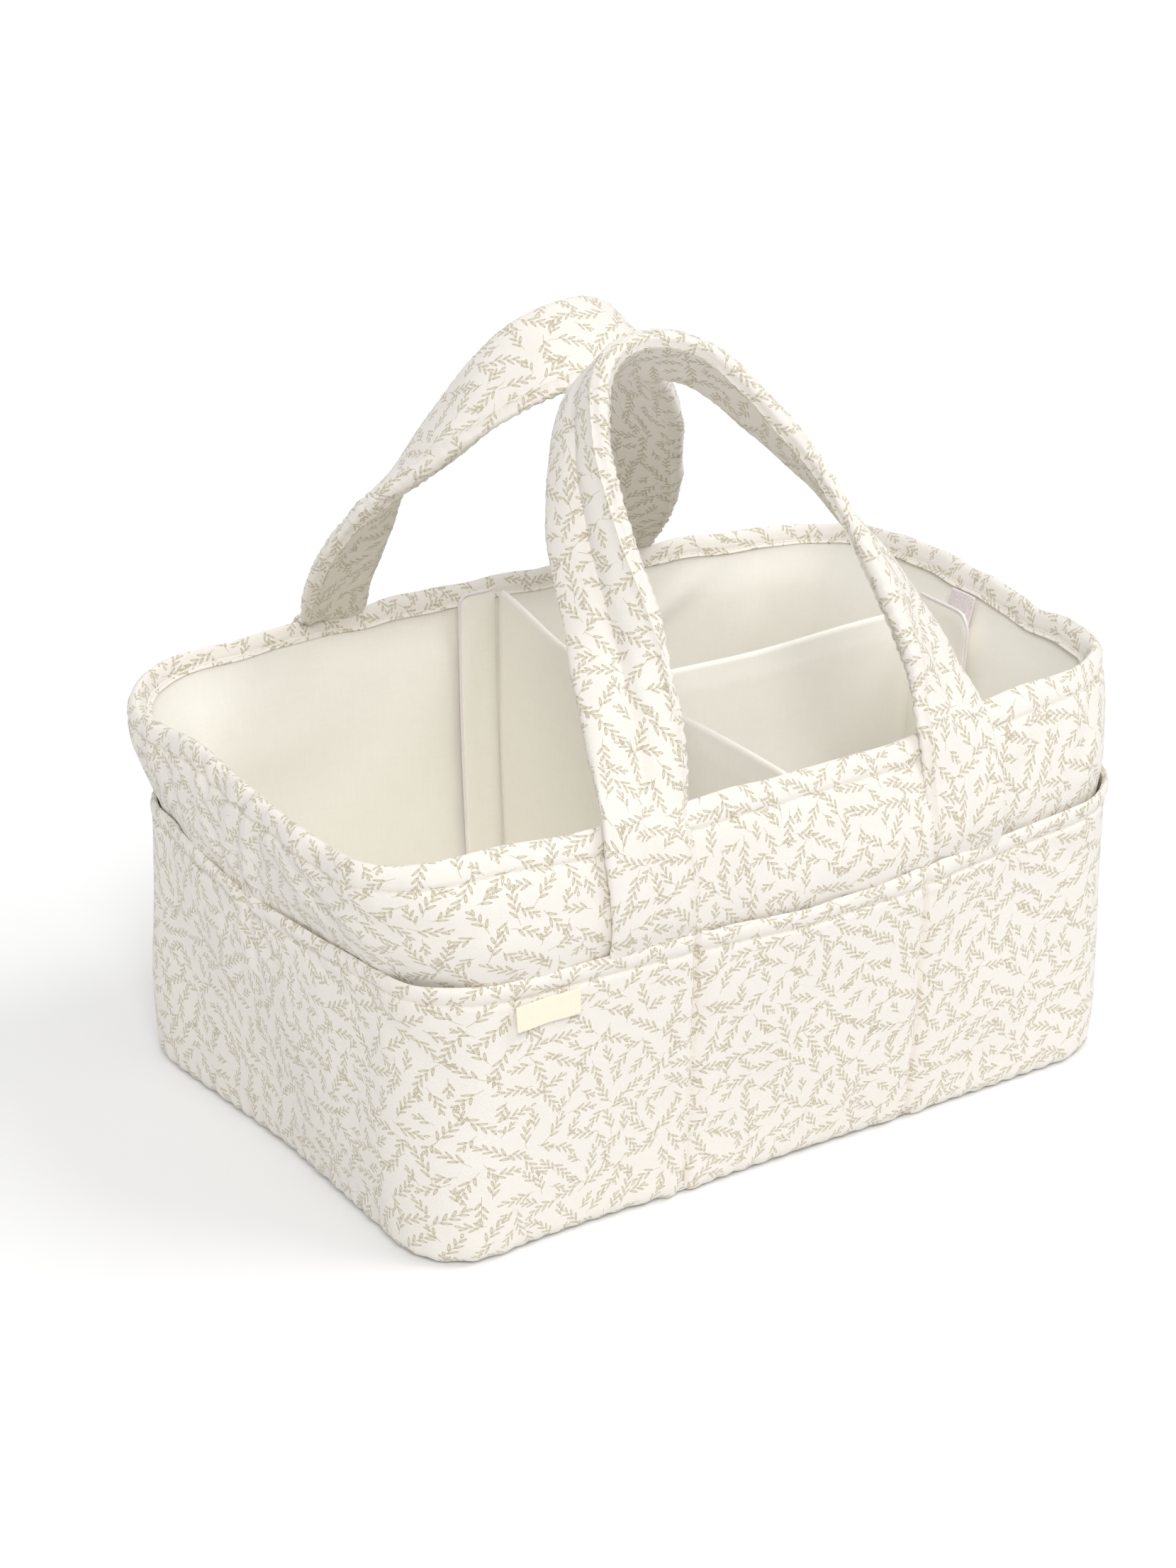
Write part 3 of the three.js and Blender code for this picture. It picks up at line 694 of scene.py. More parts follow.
def face_outwards(piece, weld=False):
    """Turns every face outward in edit mode, and joins points that fell together."""
    only(piece)
    bpy.ops.object.mode_set(mode="EDIT")
    bpy.ops.mesh.select_all(action="SELECT")
    if weld:
        bpy.ops.mesh.remove_doubles(threshold=WELD_DISTANCE)
    bpy.ops.mesh.normals_make_consistent(inside=False)
    bpy.ops.object.mode_set(mode="OBJECT")


def points_of(piece):
    """The places of a piece's points, as an array."""
    places = np.empty(len(piece.data.vertices) * 3)
    piece.data.vertices.foreach_get("co", places)
    return places.reshape(-1, 3)


def map_flat(piece, flat):
    """Writes the flat place of each point as the piece's UV map."""
    while piece.data.uv_layers:
        piece.data.uv_layers.remove(piece.data.uv_layers[0])
    corners = np.empty(len(piece.data.loops), int)
    piece.data.loops.foreach_get("vertex_index", corners)
    layer = piece.data.uv_layers.new(name="flat")
    layer.uv.foreach_set("vector", flat[corners, :2].astype(np.float32).ravel())


def thicken(piece, thickness):
    """Gives a single cloth its thickness with Solidify."""
    only(piece)
    solidify = piece.modifiers.new("thickness", "SOLIDIFY")
    solidify.thickness = thickness
    solidify.offset = -1.0
    solidify.use_even_offset = True
    bpy.ops.object.modifier_apply(modifier=solidify.name)
    return piece


def finish_piece(piece, material, body, replaced=()):
    """Shades a piece smooth, gives it its material, and lets it ride on its body."""
    only(piece)
    bpy.ops.object.shade_smooth_by_angle(angle=SMOOTH_ANGLE)
    piece.data.materials.clear()
    piece.data.materials.append(material)
    if body:
        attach(piece, body)
    if replaced:
        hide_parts(*replaced)
    print(piece.name, "has", len(piece.data.polygons), "faces")
    return piece


# %% [markdown]
# ## The printed wall
# The outer cloth goes up the outside, over a soft roll at the rim and a little way down
# inside, where it covers the raw edge of the lining. It is one strip round the basket,
# closed on itself. A row of stitches 10 mm below the rim holds the roll, so the cloth
# is pulled in along it and puckers a little. Below it the wadding swells out over the
# hem of the pockets, most of all round the front left corner.

# %% The wall's flat strip
COLUMN_STEP = 0.0020
RIM_STEP = 0.0009
RIM_STITCH = 0.1815
TACK_PLACES = [0.0, RIGHT_MIDDLE]
TACK_ASIDE = 0.003
TACK_HEIGHT = 0.007
FACING_FOOT = 0.1835
FACING_STITCH = FACING_FOOT + 0.0018
SWELL_ENDS = 0.0081
SWELL_FADE = 0.004
WALL_FOOT = 0.0033
ring_us = np.linspace(0, GIRTH, round(GIRTH / COLUMN_STEP) + 1)
outer_zs = np.concatenate([np.linspace(WALL_FOOT, 0.118, 8)[:-1], np.linspace(0.118, 0.1745, 38)])
RIM_SECTION = np.array([
    # inset and height over the rim, from the outside to the facing's foot, in mm
    (3.3, 175.5), (3.4, 180.0), (3.6, 184.0), (4.0, 187.2), (4.8, 189.8), (6.0, 191.4), (7.3, 192.0),
    (8.6, 191.5), (9.8, 189.9), (10.9, 187.7), (12.0, 185.4), (12.9, 183.5)]) / 1000


def resample(line, spacing):
    """The same line with points at even spacing."""
    way = way_of(line)
    even = np.linspace(0, way[-1], max(2, round(way[-1] / spacing) + 1))
    return np.stack([np.interp(even, way, column) for column in line.T], axis=1)


rim_line = resample(RIM_SECTION, RIM_STEP)
wall_insets = np.concatenate([np.full(len(outer_zs), WALL_INSET), rim_line[:, 0]])
wall_zs = np.concatenate([outer_zs, rim_line[:, 1]])


def band_swell(u, z):
    """How far the padded band above the pockets hangs out over their hem."""
    share = 0.0034 + 0.0044 * bump_at(round_gap(u, STRAIGHT_Y + CORNER_ARC * 0.4), 0, 0.070)
    share = share + 0.0024 * bump_at(round_gap(u, -0.070), 0, 0.045)
    return share * (bump_at(z, 0.150, 0.019) + 0.35 * bump_at(z, 0.172, 0.010))


def puckers(way, places, pitch, depth, seed):
    """Short gathers along a seam, one after another on the way along it."""
    wave = np.sin(2 * np.pi * way / pitch + 2.5 * soft_noise(places, 0.02, seed))
    return wave * depth * (0.6 + 0.5 * soft_noise(places, 0.035, seed + 1))


def tack_pinch(u, z, depth, width, height):
    """How far the tacks in the middle of both ends pull a cloth in."""
    across = sum(bump_at(round_gap(u, place - TACK_ASIDE), 0, width) for place in TACK_PLACES)
    return depth * across * bump_at(z, height, TACK_HEIGHT)


def creases(u, z, table):
    """Fold lines drawn into a cloth: a groove with a soft ridge on both of its sides."""
    total = 0.0
    for u_from, z_from, u_to, z_to, depth, width in table:
        du, dz = u_to - u_from, z_to - z_from
        share = (round_gap(u, u_from) * du + (z - z_from) * dz) / (du * du + dz * dz)
        held = np.clip(share, 0, 1)
        gap = np.hypot(round_gap(u, u_from) - held * du, (z - z_from) - held * dz) / width
        taper = np.sin(np.pi * np.clip(held, 0.12, 0.88)) ** 0.7
        total = total + depth * taper * (0.45 * np.exp(-(gap - 2.1) ** 2) - np.exp(-gap ** 2))
    return total


WALL_CREASES = [
    # from: along the strip and height; to: the same; depth and width, in metres
    (-0.0390, 0.190, -0.0230, 0.174, 0.0013, 0.0030),
    (-0.0330, 0.188, -0.0280, 0.160, 0.0009, 0.0035),
    (0.0120, 0.189, -0.0080, 0.139, 0.0017, 0.0045),
    (-0.0280, 0.165, -0.0160, 0.136, 0.0013, 0.0040),
    (0.0300, 0.186, 0.0100, 0.142, 0.0011, 0.0045),
    (0.0450, 0.183, 0.0800, 0.160, 0.0011, 0.0050),
    (0.0600, 0.170, 0.0980, 0.147, 0.0011, 0.0050),
    (0.0900, 0.178, 0.1180, 0.160, 0.0009, 0.0050),
    (-0.0940, 0.186, -0.1020, 0.150, 0.0013, 0.0045),
    (-0.0750, 0.180, -0.0600, 0.145, 0.0009, 0.0050),
    (0.4780, 0.186, 0.4550, 0.142, 0.0011, 0.0045),
    (0.4420, 0.178, 0.4200, 0.150, 0.0008, 0.0045),
    (0.6300, 0.186, 0.6120, 0.140, 0.0012, 0.0045),
    (0.7800, 0.184, 0.8100, 0.150, 0.0009, 0.0050),
    (1.0200, 0.182, 1.0450, 0.150, 0.0009, 0.0050),
]


def wall_relief(u, z, inset, places):
    """Height of the wall cloth's own relief over its even form."""
    outside = inset < 0.0075
    stitch = -0.0012 * bump_at(z, RIM_STITCH, 0.0012) + 0.0004 * bump_at(z, RIM_STITCH + 0.005, 0.003)
    gather = puckers(u, places, 0.0070, 0.00050, 1) * bump_at(z, RIM_STITCH, 0.006)
    soft = unevenness(places, 3, (0.0017, 0.045), (0.0007, 0.017))
    stitch = stitch - tack_pinch(u, z, 0.0042, 0.0045, HEM_HEIGHT + 0.003)
    inner_stitch = -0.0006 * bump_at(z, FACING_STITCH, 0.001)
    outer = stitch + gather + (soft + creases(u, z, WALL_CREASES)) * np.clip((z - 0.05) / 0.05, 0, 1)
    return np.where(outside, outer, 0.35 * soft + inner_stitch + 0.5 * gather)


def lay_ring(us, insets, zs, relief, off=lambda u, z: 0):
    """Places a closed strip round the basket from a section of insets and heights."""
    u = us[:-1, None]
    points = basket_place(u, zs, insets, off(u, zs))
    return points + grid_normals(points, True, False) * relief(u, zs, insets, points)[..., None]


def wall_off(u, z):
    """The band's swelling on the outside, faded out over the rim."""
    return band_swell(u, z) * np.clip((SWELL_ENDS - wall_insets) / SWELL_FADE, 0, 1)


wall_points = lay_ring(ring_us, wall_insets, wall_zs, wall_relief, wall_off)
wall_vs = way_along(wall_points, 1)
printed_wall = make_grid("printed_wall", wall_points, ring_us, wall_vs, loop_u=True)
thicken(printed_wall, 0.0016)
finish_piece(printed_wall, PRINTED, "basket",
             ("outer_wall", "rim_facing"))

# %% [markdown]
# ## The pockets
# One long band of the same cloth is folded over at its hem and sewn to the wall at the
# bottom, at two seams on each long side and by a tack in the middle of each end. So
# there are six pockets: one in the middle of each long side and one round each corner.
# Between its seams the hem stands off. It is stitched 8.5 mm below the fold.

# %% The pocket band
FOOT_ROUND = 0.008
FINE_FROM = 0.115
HEM_FOLD = 0.0016
HEM_STITCH = HEM_HEIGHT - 0.0085
POCKET_THICKNESS = 0.0028
HEM_GAPE = 0.0016
POCKET_PRINT_START = 0.317
POCKET_WHOLE = STRAIGHT_X - POCKET_SEAM + CORNER_ARC + STRAIGHT_Y
SEAM_PLACES = [FRONT_MIDDLE - POCKET_SEAM, FRONT_MIDDLE + POCKET_SEAM,
               BACK_MIDDLE - POCKET_SEAM, BACK_MIDDLE + POCKET_SEAM]


def pocket_gape(u):
    """How far the hem stands off the wall: nothing at a seam or a tack."""
    gape = np.zeros_like(u)
    for middle in (FRONT_MIDDLE, BACK_MIDDLE):
        for side, reach in ((0, POCKET_SEAM), (-1, POCKET_WHOLE / 2), (1, POCKET_WHOLE / 2)):
            away = round_gap(u, middle + side * (POCKET_SEAM + POCKET_WHOLE / 2)) / reach
            gape = np.where(np.abs(away) < 1, HEM_GAPE * (1 - away ** 2), gape)
    return gape


def pocket_off(u, z):
    """How far the pocket cloth stands off, with one deeper gap at the front left corner."""
    snug = 1 - 0.8 * bump_at(round_gap(u, -0.070), 0, 0.050)
    deep = 0.0030 * bump_at(round_gap(u, 0.128), 0, 0.014) * bump_at(z, HEM_HEIGHT, 0.025)
    return pocket_gape(u) * fullness(z) * snug + deep


POCKET_CREASES = [
    (-0.004, 0.129, 0.022, 0.106, 0.0018, 0.0035),
    (-0.004, 0.129, -0.026, 0.108, 0.0018, 0.0035),
    (-0.003, 0.127, 0.001, 0.092, 0.0014, 0.0035),
    (0.040, 0.126, 0.085, 0.112, 0.0009, 0.0045),
    (0.100, 0.118, 0.130, 0.096, 0.0009, 0.0060),
    (0.440, 0.122, 0.470, 0.100, 0.0008, 0.0050),
    (RIGHT_MIDDLE, 0.128, RIGHT_MIDDLE + 0.024, 0.108, 0.0010, 0.0035),
    (RIGHT_MIDDLE, 0.128, RIGHT_MIDDLE - 0.022, 0.106, 0.0010, 0.0035),
]


def pocket_relief(u, z, inset, places):
    """Relief of the pocket cloth: hem stitches, seams, tacks and soft unevenness."""
    hem = -0.0011 * bump_at(z, HEM_STITCH, 0.0012) + 0.0008 * bump_at(z, HEM_HEIGHT - 0.0035, 0.0030)
    hem = hem + puckers(u, places, 0.0060, 0.00040, 11) * bump_at(z, HEM_STITCH + 0.002, 0.006)
    seams = 0
    for place in SEAM_PLACES:
        away = round_gap(u, place)
        drawn = puckers(z, places, 0.0085, 0.0006, 13) * bump_at(away, 0, 0.008)
        seams = seams - 0.0020 * bump_at(away, 0, 0.0011) - 0.0012 * bump_at(away, 0, 0.0036)
        seams = seams + 0.0008 * bump_at(np.abs(away), 0.0080, 0.0040) + drawn
    seams = seams - tack_pinch(u, z, 0.0056, 0.0042, HEM_HEIGHT - 0.004)
    foot = puckers(u, places, 0.011, 0.0007, 15) * bump_at(z, 0.006, 0.010)
    soft = unevenness(places, 16, (0.0017, 0.050), (0.0006, 0.018))
    return hem + seams + foot + (soft + creases(u, z, POCKET_CREASES)) * np.clip(z / 0.03, 0, 1)


def pocket_section():
    """Insets and heights up the outside of the band, over its hem and down inside."""
    foot = np.radians(np.linspace(-72, 0, 7))
    low_z = FOOT_ROUND * (1 + np.sin(foot))
    low_in = FOOT_ROUND * (1 - np.cos(foot))
    up = np.concatenate([np.linspace(FOOT_ROUND, FINE_FROM, 24)[1:-1],
                         np.linspace(FINE_FROM, HEM_HEIGHT - HEM_FOLD, 18)])
    fold = np.radians(np.linspace(0, 180, 7))[1:-1]
    fold_in = POCKET_THICKNESS / 2 * (1 - np.cos(fold))
    fold_z = HEM_HEIGHT - HEM_FOLD + HEM_FOLD * np.sin(fold)
    down = np.linspace(HEM_HEIGHT - HEM_FOLD, 0.005, 26)
    insets = np.concatenate([low_in, np.zeros(len(up)), fold_in, np.full(len(down), POCKET_THICKNESS)])
    zs = np.concatenate([low_z, up, fold_z, down])
    return insets, zs, len(low_z) + len(up)


def finer_at(us, places, reach, step):
    """The same columns, but closer together near some places, where a seam is drawn."""
    for place in places:
        us = us[np.abs(us - place) > reach]
        us = np.concatenate([us, place + np.arange(-reach, reach + step / 2, step)])
    return np.sort(us)


pocket_insets, pocket_zs, outside_rows = pocket_section()
pocket_us = finer_at(ring_us, SEAM_PLACES, 0.0050, 0.0005)


def band_relief(u, z, inset, places):
    outer = pocket_relief(u, z, inset, places)
    rows = np.arange(places.shape[1])[None, :]
    return np.where(rows < outside_rows + 2, outer, -outer)


pocket_points = lay_ring(pocket_us, pocket_insets, pocket_zs, band_relief, pocket_off)
pocket_vs = way_along(pocket_points, 1)
pocket_band = make_grid("pocket_band", pocket_points, pocket_us + POCKET_PRINT_START, pocket_vs,
                        loop_u=True, loop_v=True)
finish_piece(pocket_band, PRINTED, "basket",
             ("pocket_front", "pocket_back", "pocket_left", "pocket_right"))

# %% [markdown]
# ## Lining, floor and foot
# The lining is a plain strip that hangs inside, a little slack, and the floor has a
# quilt of its own. The foot is the padded bottom that the caddy rests on.

# %% Lining
LINING_THICKNESS = 0.0013
lining_zs = np.linspace(0.0084, 0.1850, 40)
lining_insets = LINING_INSET - 0.0027 * smooth_step((lining_zs - 0.160) / 0.0265)


def lining_relief(u, z, inset, places):
    slack = unevenness(places, 21, (0.0022, 0.060), (0.0007, 0.022))
    crease_way = (round_gap(u, BACK_MIDDLE - 0.105) * 0.55 + (z - 0.160) * 0.83)
    crease = 0.0022 * bump_at(crease_way, 0, 0.005) * bump_at(round_gap(u, BACK_MIDDLE - 0.105), 0, 0.045)
    held = sum(bump_at(round_gap(u, place), 0, 0.020) for place in (FRONT_MIDDLE, RIGHT_MIDDLE, BACK_MIDDLE))
    return (slack - crease) * np.clip((0.186 - z) / 0.02, 0, 1) * (1 - 0.95 * np.clip(held, 0, 1))


lining_points = lay_ring(ring_us, lining_insets, lining_zs, lining_relief)
lining = make_grid("lining", lining_points, ring_us, way_along(lining_points, 1), loop_u=True)
thicken(lining, LINING_THICKNESS)
finish_piece(lining, LINING, "basket", ("lining_wall",))


def padded_disc(name, inset, low, high, swell, seed, flat_foot):
    """A closed pad in the basket's outline: rings from the rim of the pad to its middle."""
    shares = np.concatenate([np.linspace(0, 0.12, 6), np.linspace(0.12, 1, 26)[1:]])
    us = np.linspace(0, GIRTH, 241)
    rings = basket_place(us[:-1], (low + high) / 2, inset)[:, None, :2] * (1 - shares)[:, None]
    round_off = np.sqrt(1 - (1 - np.minimum(shares / 0.06, 1)) ** 2)
    places = np.concatenate([rings, np.zeros((*rings.shape[:2], 1))], axis=-1)
    uneven = unevenness(places, seed, (0.0009, 0.05), (0.0004, 0.02)) * round_off
    half = (high - low) / 2
    top = (low + high) / 2 + round_off * (half + swell * (1 - np.abs(1 - 2 * shares) ** 3)) + uneven
    foot = (low + high) / 2 - round_off * half - (0 if flat_foot else 1) * uneven
    upper, lower = (np.concatenate([rings, height[..., None]], axis=-1) for height in (top, foot))
    points = np.concatenate([lower[:, ::-1], upper[:, 1:]], axis=1)
    piece = make_grid(name, points, us, way_along(points, 1), loop_u=True)
    map_flat(piece, points.reshape(-1, 3))
    face_outwards(piece, weld=True)
    return piece


floor_pad = padded_disc("floor_pad", 0.0150, 0.0062, 0.0086, 0.0010, 31, False)
finish_piece(floor_pad, LINING, "basket", ("lining_floor",))
foot_pad = padded_disc("foot_pad", 0.0030, 0.0, 0.0044, 0.0, 33, True)
finish_piece(foot_pad, PRINTED, "basket", ("outer_base",))

# %% [markdown]
# ## The carrying straps
# Each strap is one long padded tube. Its ends lie flat on the wall, tucked behind the
# pocket hem, and above the rim it leans inward and turns on itself until its flat face
# looks along the arch. It is made like a rope: a centre line, a face direction at each
# point, and one section carried along. The section has two soft rolls with a crease
# between them, and a seam along one edge draws it into small gathers.

# %% Strap centre lines
STRAP_WIDTH = 0.044
STRAP_THICKNESS = 0.0078
ARCH_THICKNESS = 0.0104
STRAP_CENTRE = POCKET_SEAM + STRAP_WIDTH / 2
HINGE_Y = 0.137596
STRAP_FOOT = 0.1275
STRAP_SINK = 0.0035
STRAP_STEP = 0.0022
SECTION_POINTS = 52
SEAM_FROM_EDGE = 0.0045
HANDLES = {
    # rows: places on the arch, each mm across and up in its leaning plane, turn in degrees,
    # share of the full width, and depth of the crease
    "front_handle": dict(side=-1, lean=math.radians(34), sewn=0.0076, inward=0.0, sink=0.0,
                         seed=41, print_start=0.13, rows=np.array([
        (-82, 6, 2, 1.00, 1.0), (-76, 28, 10, 1.00, 1.0), (-73, 47, 20, 1.00, 1.0),
        (-70.5, 66, 31, 0.99, 1.0), (-68.5, 91, 46, 0.97, 1.0), (-67, 111, 58, 0.95, 1.0),
        (-64, 130, 68, 0.93, 1.0), (-59, 152, 78, 0.92, 0.8), (-50, 174, 88, 0.88, 0.5),
        (-39.5, 188.5, 96, 0.84, 0.4), (-26, 196, 100, 0.82, 0.3), (-10, 196.5, 100, 0.84, 0.3),
        (3, 193, 96, 0.86, 0.3), (17, 185.5, 88, 0.88, 0.3), (30, 171, 80, 0.88, 0.3),
        (40, 157, 75, 0.88, 0.3), (50, 142.5, 69, 0.88, 0.3), (58, 129, 62, 0.88, 0.3),
        (67, 105.5, 53, 0.90, 0.35), (72, 91, 47, 0.92, 0.4), (78, 73, 40, 0.94, 0.4),
        (81.5, 56, 35, 0.96, 0.5), (85, 41, 29, 0.98, 0.5), (86.5, 26, 22, 1.00, 0.5),
        (85.5, 8, 10, 1.00, 0.5)])),
    "back_handle": dict(side=1, lean=math.radians(35), sewn=0.0048, inward=0.0025, sink=0.0025,
                        seed=51, print_start=0.71, rows=np.array([
        (-79.5, 6, 0, 0.82, 0.3), (-84.5, 25, 3, 0.88, 0.3), (-86.5, 50, 7, 0.94, 0.2),
        (-86.5, 72, 12, 0.94, 0.1), (-84, 94, 21, 0.88, 0.0), (-80.5, 106, 33, 0.88, 0.0),
        (-70, 131, 56, 0.92, 0.0), (-58, 152, 65, 0.97, 0.0), (-46, 169, 74, 1.02, 0.0),
        (-32, 182, 81, 1.06, 0.0), (-15, 190, 87, 1.06, 0.0), (5, 191, 90, 1.02, 0.0),
        (21, 182, 88, 0.98, 0.0), (35, 164, 80, 0.92, 0.0), (46, 142, 68, 0.92, 0.1),
        (55, 118, 55, 0.95, 0.2), (63.5, 91, 40, 0.96, 0.3), (74, 58, 25, 0.98, 0.4),
        (82, 28, 12, 1.00, 0.4), (85.5, 6, 3, 1.00, 0.4)])),
}


def smooth_line(points, spacing):
    """A smooth curve through points, by a spline in Blender, sampled evenly."""
    curve = bpy.data.curves.new("guide", "CURVE")
    spline = curve.splines.new("BEZIER")
    spline.bezier_points.add(len(points) - 1)
    for handle_point, place in zip(spline.bezier_points, points):
        handle_point.co = place
        handle_point.handle_left_type = handle_point.handle_right_type = "AUTO"
    curve.dimensions = "3D"
    curve.resolution_u = 24
    holder = bpy.data.objects.new("guide", curve)
    dense = np.array([v.co for v in holder.to_mesh().vertices])
    holder.to_mesh_clear()
    bpy.data.objects.remove(holder)
    bpy.data.curves.remove(curve)
    return resample(dense, spacing)


def soften(values, width):
    """Rounds off a row of values by a moving mean, keeping its ends."""
    kernel = np.hanning(2 * width + 1)
    kernel /= kernel.sum()
    before = 2 * values[:1] - values[width:0:-1]
    after = 2 * values[-1:] - values[-2:-width - 2:-1]
    padded = np.concatenate([before, values, after])
    return np.stack([np.convolve(column, kernel, "valid") for column in padded.T], axis=1)


def strip_way(x, side):
    """Place along the strip of a point x on the front or back wall."""
    return FRONT_MIDDLE + x if side < 0 else BACK_MIDDLE - x


def wall_leg(hand, handle):
    """The sewn part of a strap, from its foot behind the hem up to the rim."""
    zs = np.linspace(STRAP_FOOT, RIM_HEIGHT - 0.004, 20)
    u = strip_way(hand * STRAP_CENTRE + (handle["inward"] if hand < 0 else 0), handle["side"])
    inset = WALL_INSET - STRAP_SINK + (STRAP_THICKNESS - handle["sewn"]) / 2
    inset = inset + 0.0026 * bump_at(zs, STRAP_FOOT, 0.012)
    inset = inset + handle["sink"] * smooth_step((zs - 0.165) / 0.023)
    return basket_place(u, zs, inset, 0.55 * band_swell(np.array([u]), zs))


def arch_line(handle):
    """The free arch in its leaning plane, from the left leg to the right."""
    side, lean = handle["side"], handle["lean"]
    across, up = handle["rows"][:, 0] / 1000, handle["rows"][:, 1] / 1000
    up_way = np.array([0, -side * math.sin(lean), math.cos(lean)])
    out_way = np.array([0, side * math.cos(lean), math.sin(lean)])
    hinge = np.array([0, side * HINGE_Y, RIM_HEIGHT])
    line = np.outer(across, [1, 0, 0]) + np.outer(up, up_way) + hinge
    return line - out_way * STRAP_THICKNESS / 2, out_way


def strap_line(handle):
    """Centre line of a whole strap, and its face direction before any turn."""
    arch, out_way = arch_line(handle)
    left = wall_leg(-1, handle)
    right = wall_leg(1, handle)[::-1]
    line = resample(np.concatenate([left, smooth_line(arch, 0.0025), right]), STRAP_STEP)
    line = resample(soften(line, 5), STRAP_STEP)
    tangent = unit(np.gradient(line, axis=0))
    lifted = smooth_step((line[:, 2] - RIM_HEIGHT + 0.010) / 0.022)[:, None]
    wall_out = np.array([0, handle["side"], 0.0])
    out = wall_out * (1 - lifted) + out_way * lifted
    out = unit(out - tangent * np.sum(out * tangent, axis=1, keepdims=True))
    crown = unit(-handle["side"] * np.cross(out, tangent))
    return line, tangent, out, crown


# %% [markdown]
# The turn of each leg is read from how wide its face looks in the photograph: a flat
# face shows its whole width, and a turned one shows only part of it. The turn is given
# at a few places along the arch, in degrees, with smooth changes between them.

# %% Strap turns
def along_rows(rows, column, shares):
    """Smooth values of one column of a strap's rows, by the share of the way along the arch."""
    way = way_of(rows[:, :2])
    rough = np.interp(shares, way / way[-1], rows[:, column])
    return soften(rough[:, None], 8)[:, 0]


def strap_section():
    """Half-width and half-thickness shares round a strap of two soft rolls."""
    angle = np.linspace(0, 2 * np.pi, SECTION_POINTS, endpoint=False)
    across, up = (np.sign(wave) * np.abs(wave) ** power
                  for wave, power in ((np.cos(angle), 0.80), (np.sin(angle), 0.72)))
    return across, up


def bend_at_rim(piece, handle_name):
    """Writes the piece's placing into its points. It adds no bend."""
    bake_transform(piece)


def make_strap(name):
    """One strap: its section carried along its centre line, with gathers and a seam."""
    handle = HANDLES[name]
    rows, seed = handle["rows"], handle["seed"]
    line, tangent, out, crown = strap_line(handle)
    way = way_of(line)
    over_rim = line[:, 2:3] - RIM_HEIGHT
    free = line[:, 2] > RIM_HEIGHT + 0.004
    first, last = way[free][0], way[free][-1]
    shares = np.clip((way - first) / (last - first), 0, 1)
    turn = np.radians(along_rows(rows, 2, shares))[:, None] * smooth_step((over_rim + 0.030) / 0.045)
    face = out * np.cos(turn) + crown * np.sin(turn)
    breadth = np.cross(face, tangent)
    width = (STRAP_WIDTH * along_rows(rows, 3, shares))[:, None]
    from_end = np.minimum(way, way[-1] - way)[:, None]
    thick = handle["sewn"] + (ARCH_THICKNESS - handle["sewn"]) * smooth_step((over_rim + 0.012) / 0.040)
    thick = thick * (0.30 + 0.70 * smooth_step((from_end - 0.002) / 0.020))
    across, up = strap_section()
    a = across * width / 2
    keep = smooth_step(from_end / 0.02)
    crease = 0.58 * bump_at(a, 0, 0.0026) + 0.24 * bump_at(a, 0, 0.0080)
    crease = crease * along_rows(rows, 4, shares)[:, None] * keep
    b = up * thick / 2 * (1 - np.where(up > 0, crease, 0.4 * crease))
    points = line[:, None] + breadth[:, None] * a[..., None] + face[:, None] * b[..., None]
    normal = grid_normals(points, False, True)
    near_edges = bump_at(a, -width / 2, 0.0090) + 0.35 * bump_at(a, width / 2, 0.006)
    wave = np.sin(2 * np.pi * way[:, None] / 0.0058 + 3.0 * soft_noise(points, 0.018, seed))
    gather = 0.0008 * wave * (0.55 + 0.45 * soft_noise(points, 0.03, seed + 1)) * near_edges
    soft = unevenness(points, seed + 2, (0.0015, 0.034), (0.0007, 0.013))
    seam = -0.0012 * bump_at(a, -width / 2 + SEAM_FROM_EDGE, 0.0011)
    points = points + normal * ((gather + soft + seam) * keep)[..., None]
    piece = make_grid(name.replace("handle", "strap"), points, way + handle["print_start"],
                      way_along(points, 1), loop_v=True, caps=True)
    hand = name.split("_")[0]
    ends = [f"{hand}_strap_end_{side}" for side in ("left", "right")]
    finish_piece(piece, PRINTED, None, (f"{name}_cover", f"{name}_core", *ends))
    bend_at_rim(piece, name)
    print(piece.name, "is", round(way[-1], 3), "long")
    return points


STRAP_POINTS = {name: make_strap(name) for name in HANDLES}

# %% [markdown]
# ## Stitches
# A row of machine stitches is one short capsule of thread, copied along a line on the
# cloth. Each line is a row or a column of the cloth's own grid, so the stitches lie in
# the groove that the relief drew for them, and each capsule has only a few faces.

# %% Thread along a line
STITCH_PITCH = 0.0031
STITCH_LENGTH = 0.0021
THREAD_RADIUS = 0.00024
SEAM_SHARE = 0.79


